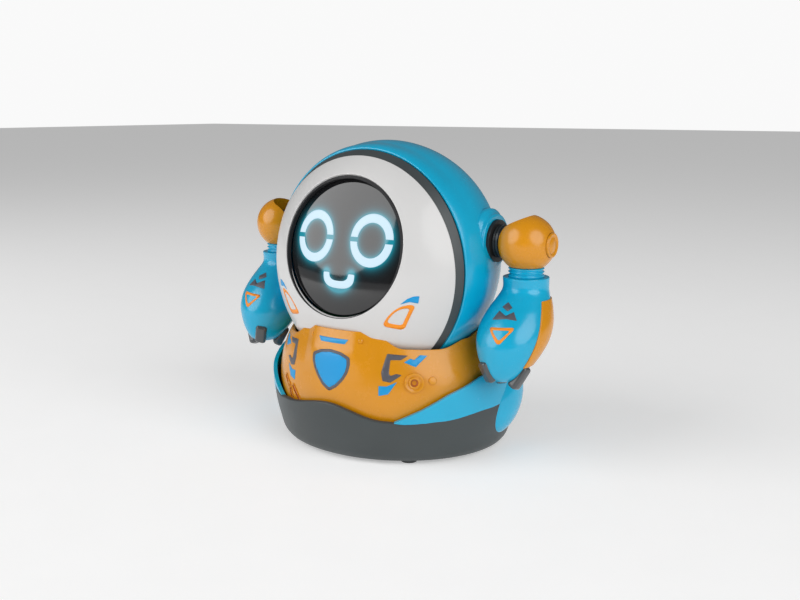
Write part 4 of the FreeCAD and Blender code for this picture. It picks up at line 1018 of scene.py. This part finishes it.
def nail(bm, top, tip):
    """Adds one rounded bar to the mesh, with its broad side facing away from the forearm."""
    base = Vector((shoulder_x, 0, arm_tip))
    top, tip = Vector(top) + base, Vector(tip) + base
    middle, down = (top + tip) / 2, (tip - top).normalized()
    out = middle - Vector((shoulder_x + CLAW_CENTRE.x, CLAW_CENTRE.y, middle.z))
    across = down.cross(out).normalized()
    turn = Matrix((across, down.cross(across), down)).transposed()
    verts = bmesh.ops.create_cube(bm, size=mm)["verts"]
    bmesh.ops.scale(bm, vec=(CLAW_WIDE, CLAW_DEEP, (tip - top).length + CLAW_EXTRA), verts=verts)
    edges = list({e for v in verts for e in v.link_edges})
    rounded = bmesh.ops.bevel(bm, geom=edges, offset=CLAW_ROUND * mm, affect="EDGES", segments=5,
                              profile=0.5, material=-1)["faces"]
    verts = list({v for f in rounded for v in f.verts})
    bmesh.ops.rotate(bm, cent=(0, 0, 0), matrix=turn, verts=verts)
    bmesh.ops.translate(bm, vec=middle * mm, verts=verts)


for side, word in SIDES:
    bm = bmesh.new()
    for top, tip in CLAWS:
        nail(bm, top, tip)
    bmesh.ops.recalc_face_normals(bm, faces=bm.faces)
    made("claw_bars_" + word, handed(bm, side), "forearm_" + word, claw_gloss,
         stands_for=["claws_" + word])


# ------------------------------------------------------------------ studio
# A flat pale paper floor that glows a little, two large round soft lights in front, and a weak fill from all
# round that looks brighter to the camera than it shines.
LIGHT_FAR, LIGHT_SIZE, LIGHT_POWER = 1.2, 1.17, 9.0
FILL_LIGHT, FILL_SEEN = 0.14, 0.95

floor_bm = bmesh.new()
bmesh.ops.create_grid(floor_bm, x_segments=1, y_segments=1, size=6.0)
floor = placed("floor", mesh_of("floor", floor_bm))
pale_paper = moulded("pale paper", (0.8, 0.8, 0.8), 0.9, drift=0.01, grain=0.1, glow=((1, 1, 1), 0.35))
floor.data.materials.append(pale_paper)

target = Vector((0, 4.45, 62.5)) * mm


def aimed(thing, turn, rise, far):
    """Stands a light or the camera at an angle round the robot and a height in degrees, aimed at it."""
    turn, rise = math.radians(turn), math.radians(rise)
    away = Vector((math.sin(turn) * math.cos(rise), -math.cos(turn) * math.cos(rise), math.sin(rise)))
    thing.location = target + away * far
    thing.rotation_euler = (-away).to_track_quat("-Z", "Y").to_euler()


camera = placed("camera", bpy.data.cameras.new("camera"))
aimed(camera, 33.96, 11.13, 469 * mm)
camera.data.sensor_width, camera.data.lens = 36.0, 44.42
camera.data.clip_start, camera.data.clip_end = 0.01, 50
bpy.context.scene.camera = camera


def soft_light(name, turn, rise):
    """A large round light."""
    lamp = bpy.data.lights.new(name, "AREA")
    lamp.shape, lamp.size, lamp.energy = "DISK", LIGHT_SIZE, LIGHT_POWER
    aimed(placed(name, lamp), turn, rise, LIGHT_FAR)


soft_light("round light, left", -38, 27)
soft_light("round light, right", 70, 27)

world = bpy.data.worlds.new("studio air")
world.use_nodes = True
air = world.node_tree
air.nodes["Background"].inputs["Strength"].default_value = FILL_LIGHT
seen = air.nodes.new("ShaderNodeBackground")
seen.inputs["Strength"].default_value = FILL_SEEN
for background in (air.nodes["Background"], seen):
    background.inputs["Color"].default_value = (1, 1, 1, 1)
ray, choice = air.nodes.new("ShaderNodeLightPath"), air.nodes.new("ShaderNodeMixShader")
air.links.new(ray.outputs["Is Camera Ray"], choice.inputs["Fac"])
air.links.new(air.nodes["Background"].outputs[0], choice.inputs[1])
air.links.new(seen.outputs[0], choice.inputs[2])
air.links.new(choice.outputs[0], air.nodes["World Output"].inputs["Surface"])
bpy.context.scene.world = world
bpy.context.scene.view_settings.view_transform = "Standard"
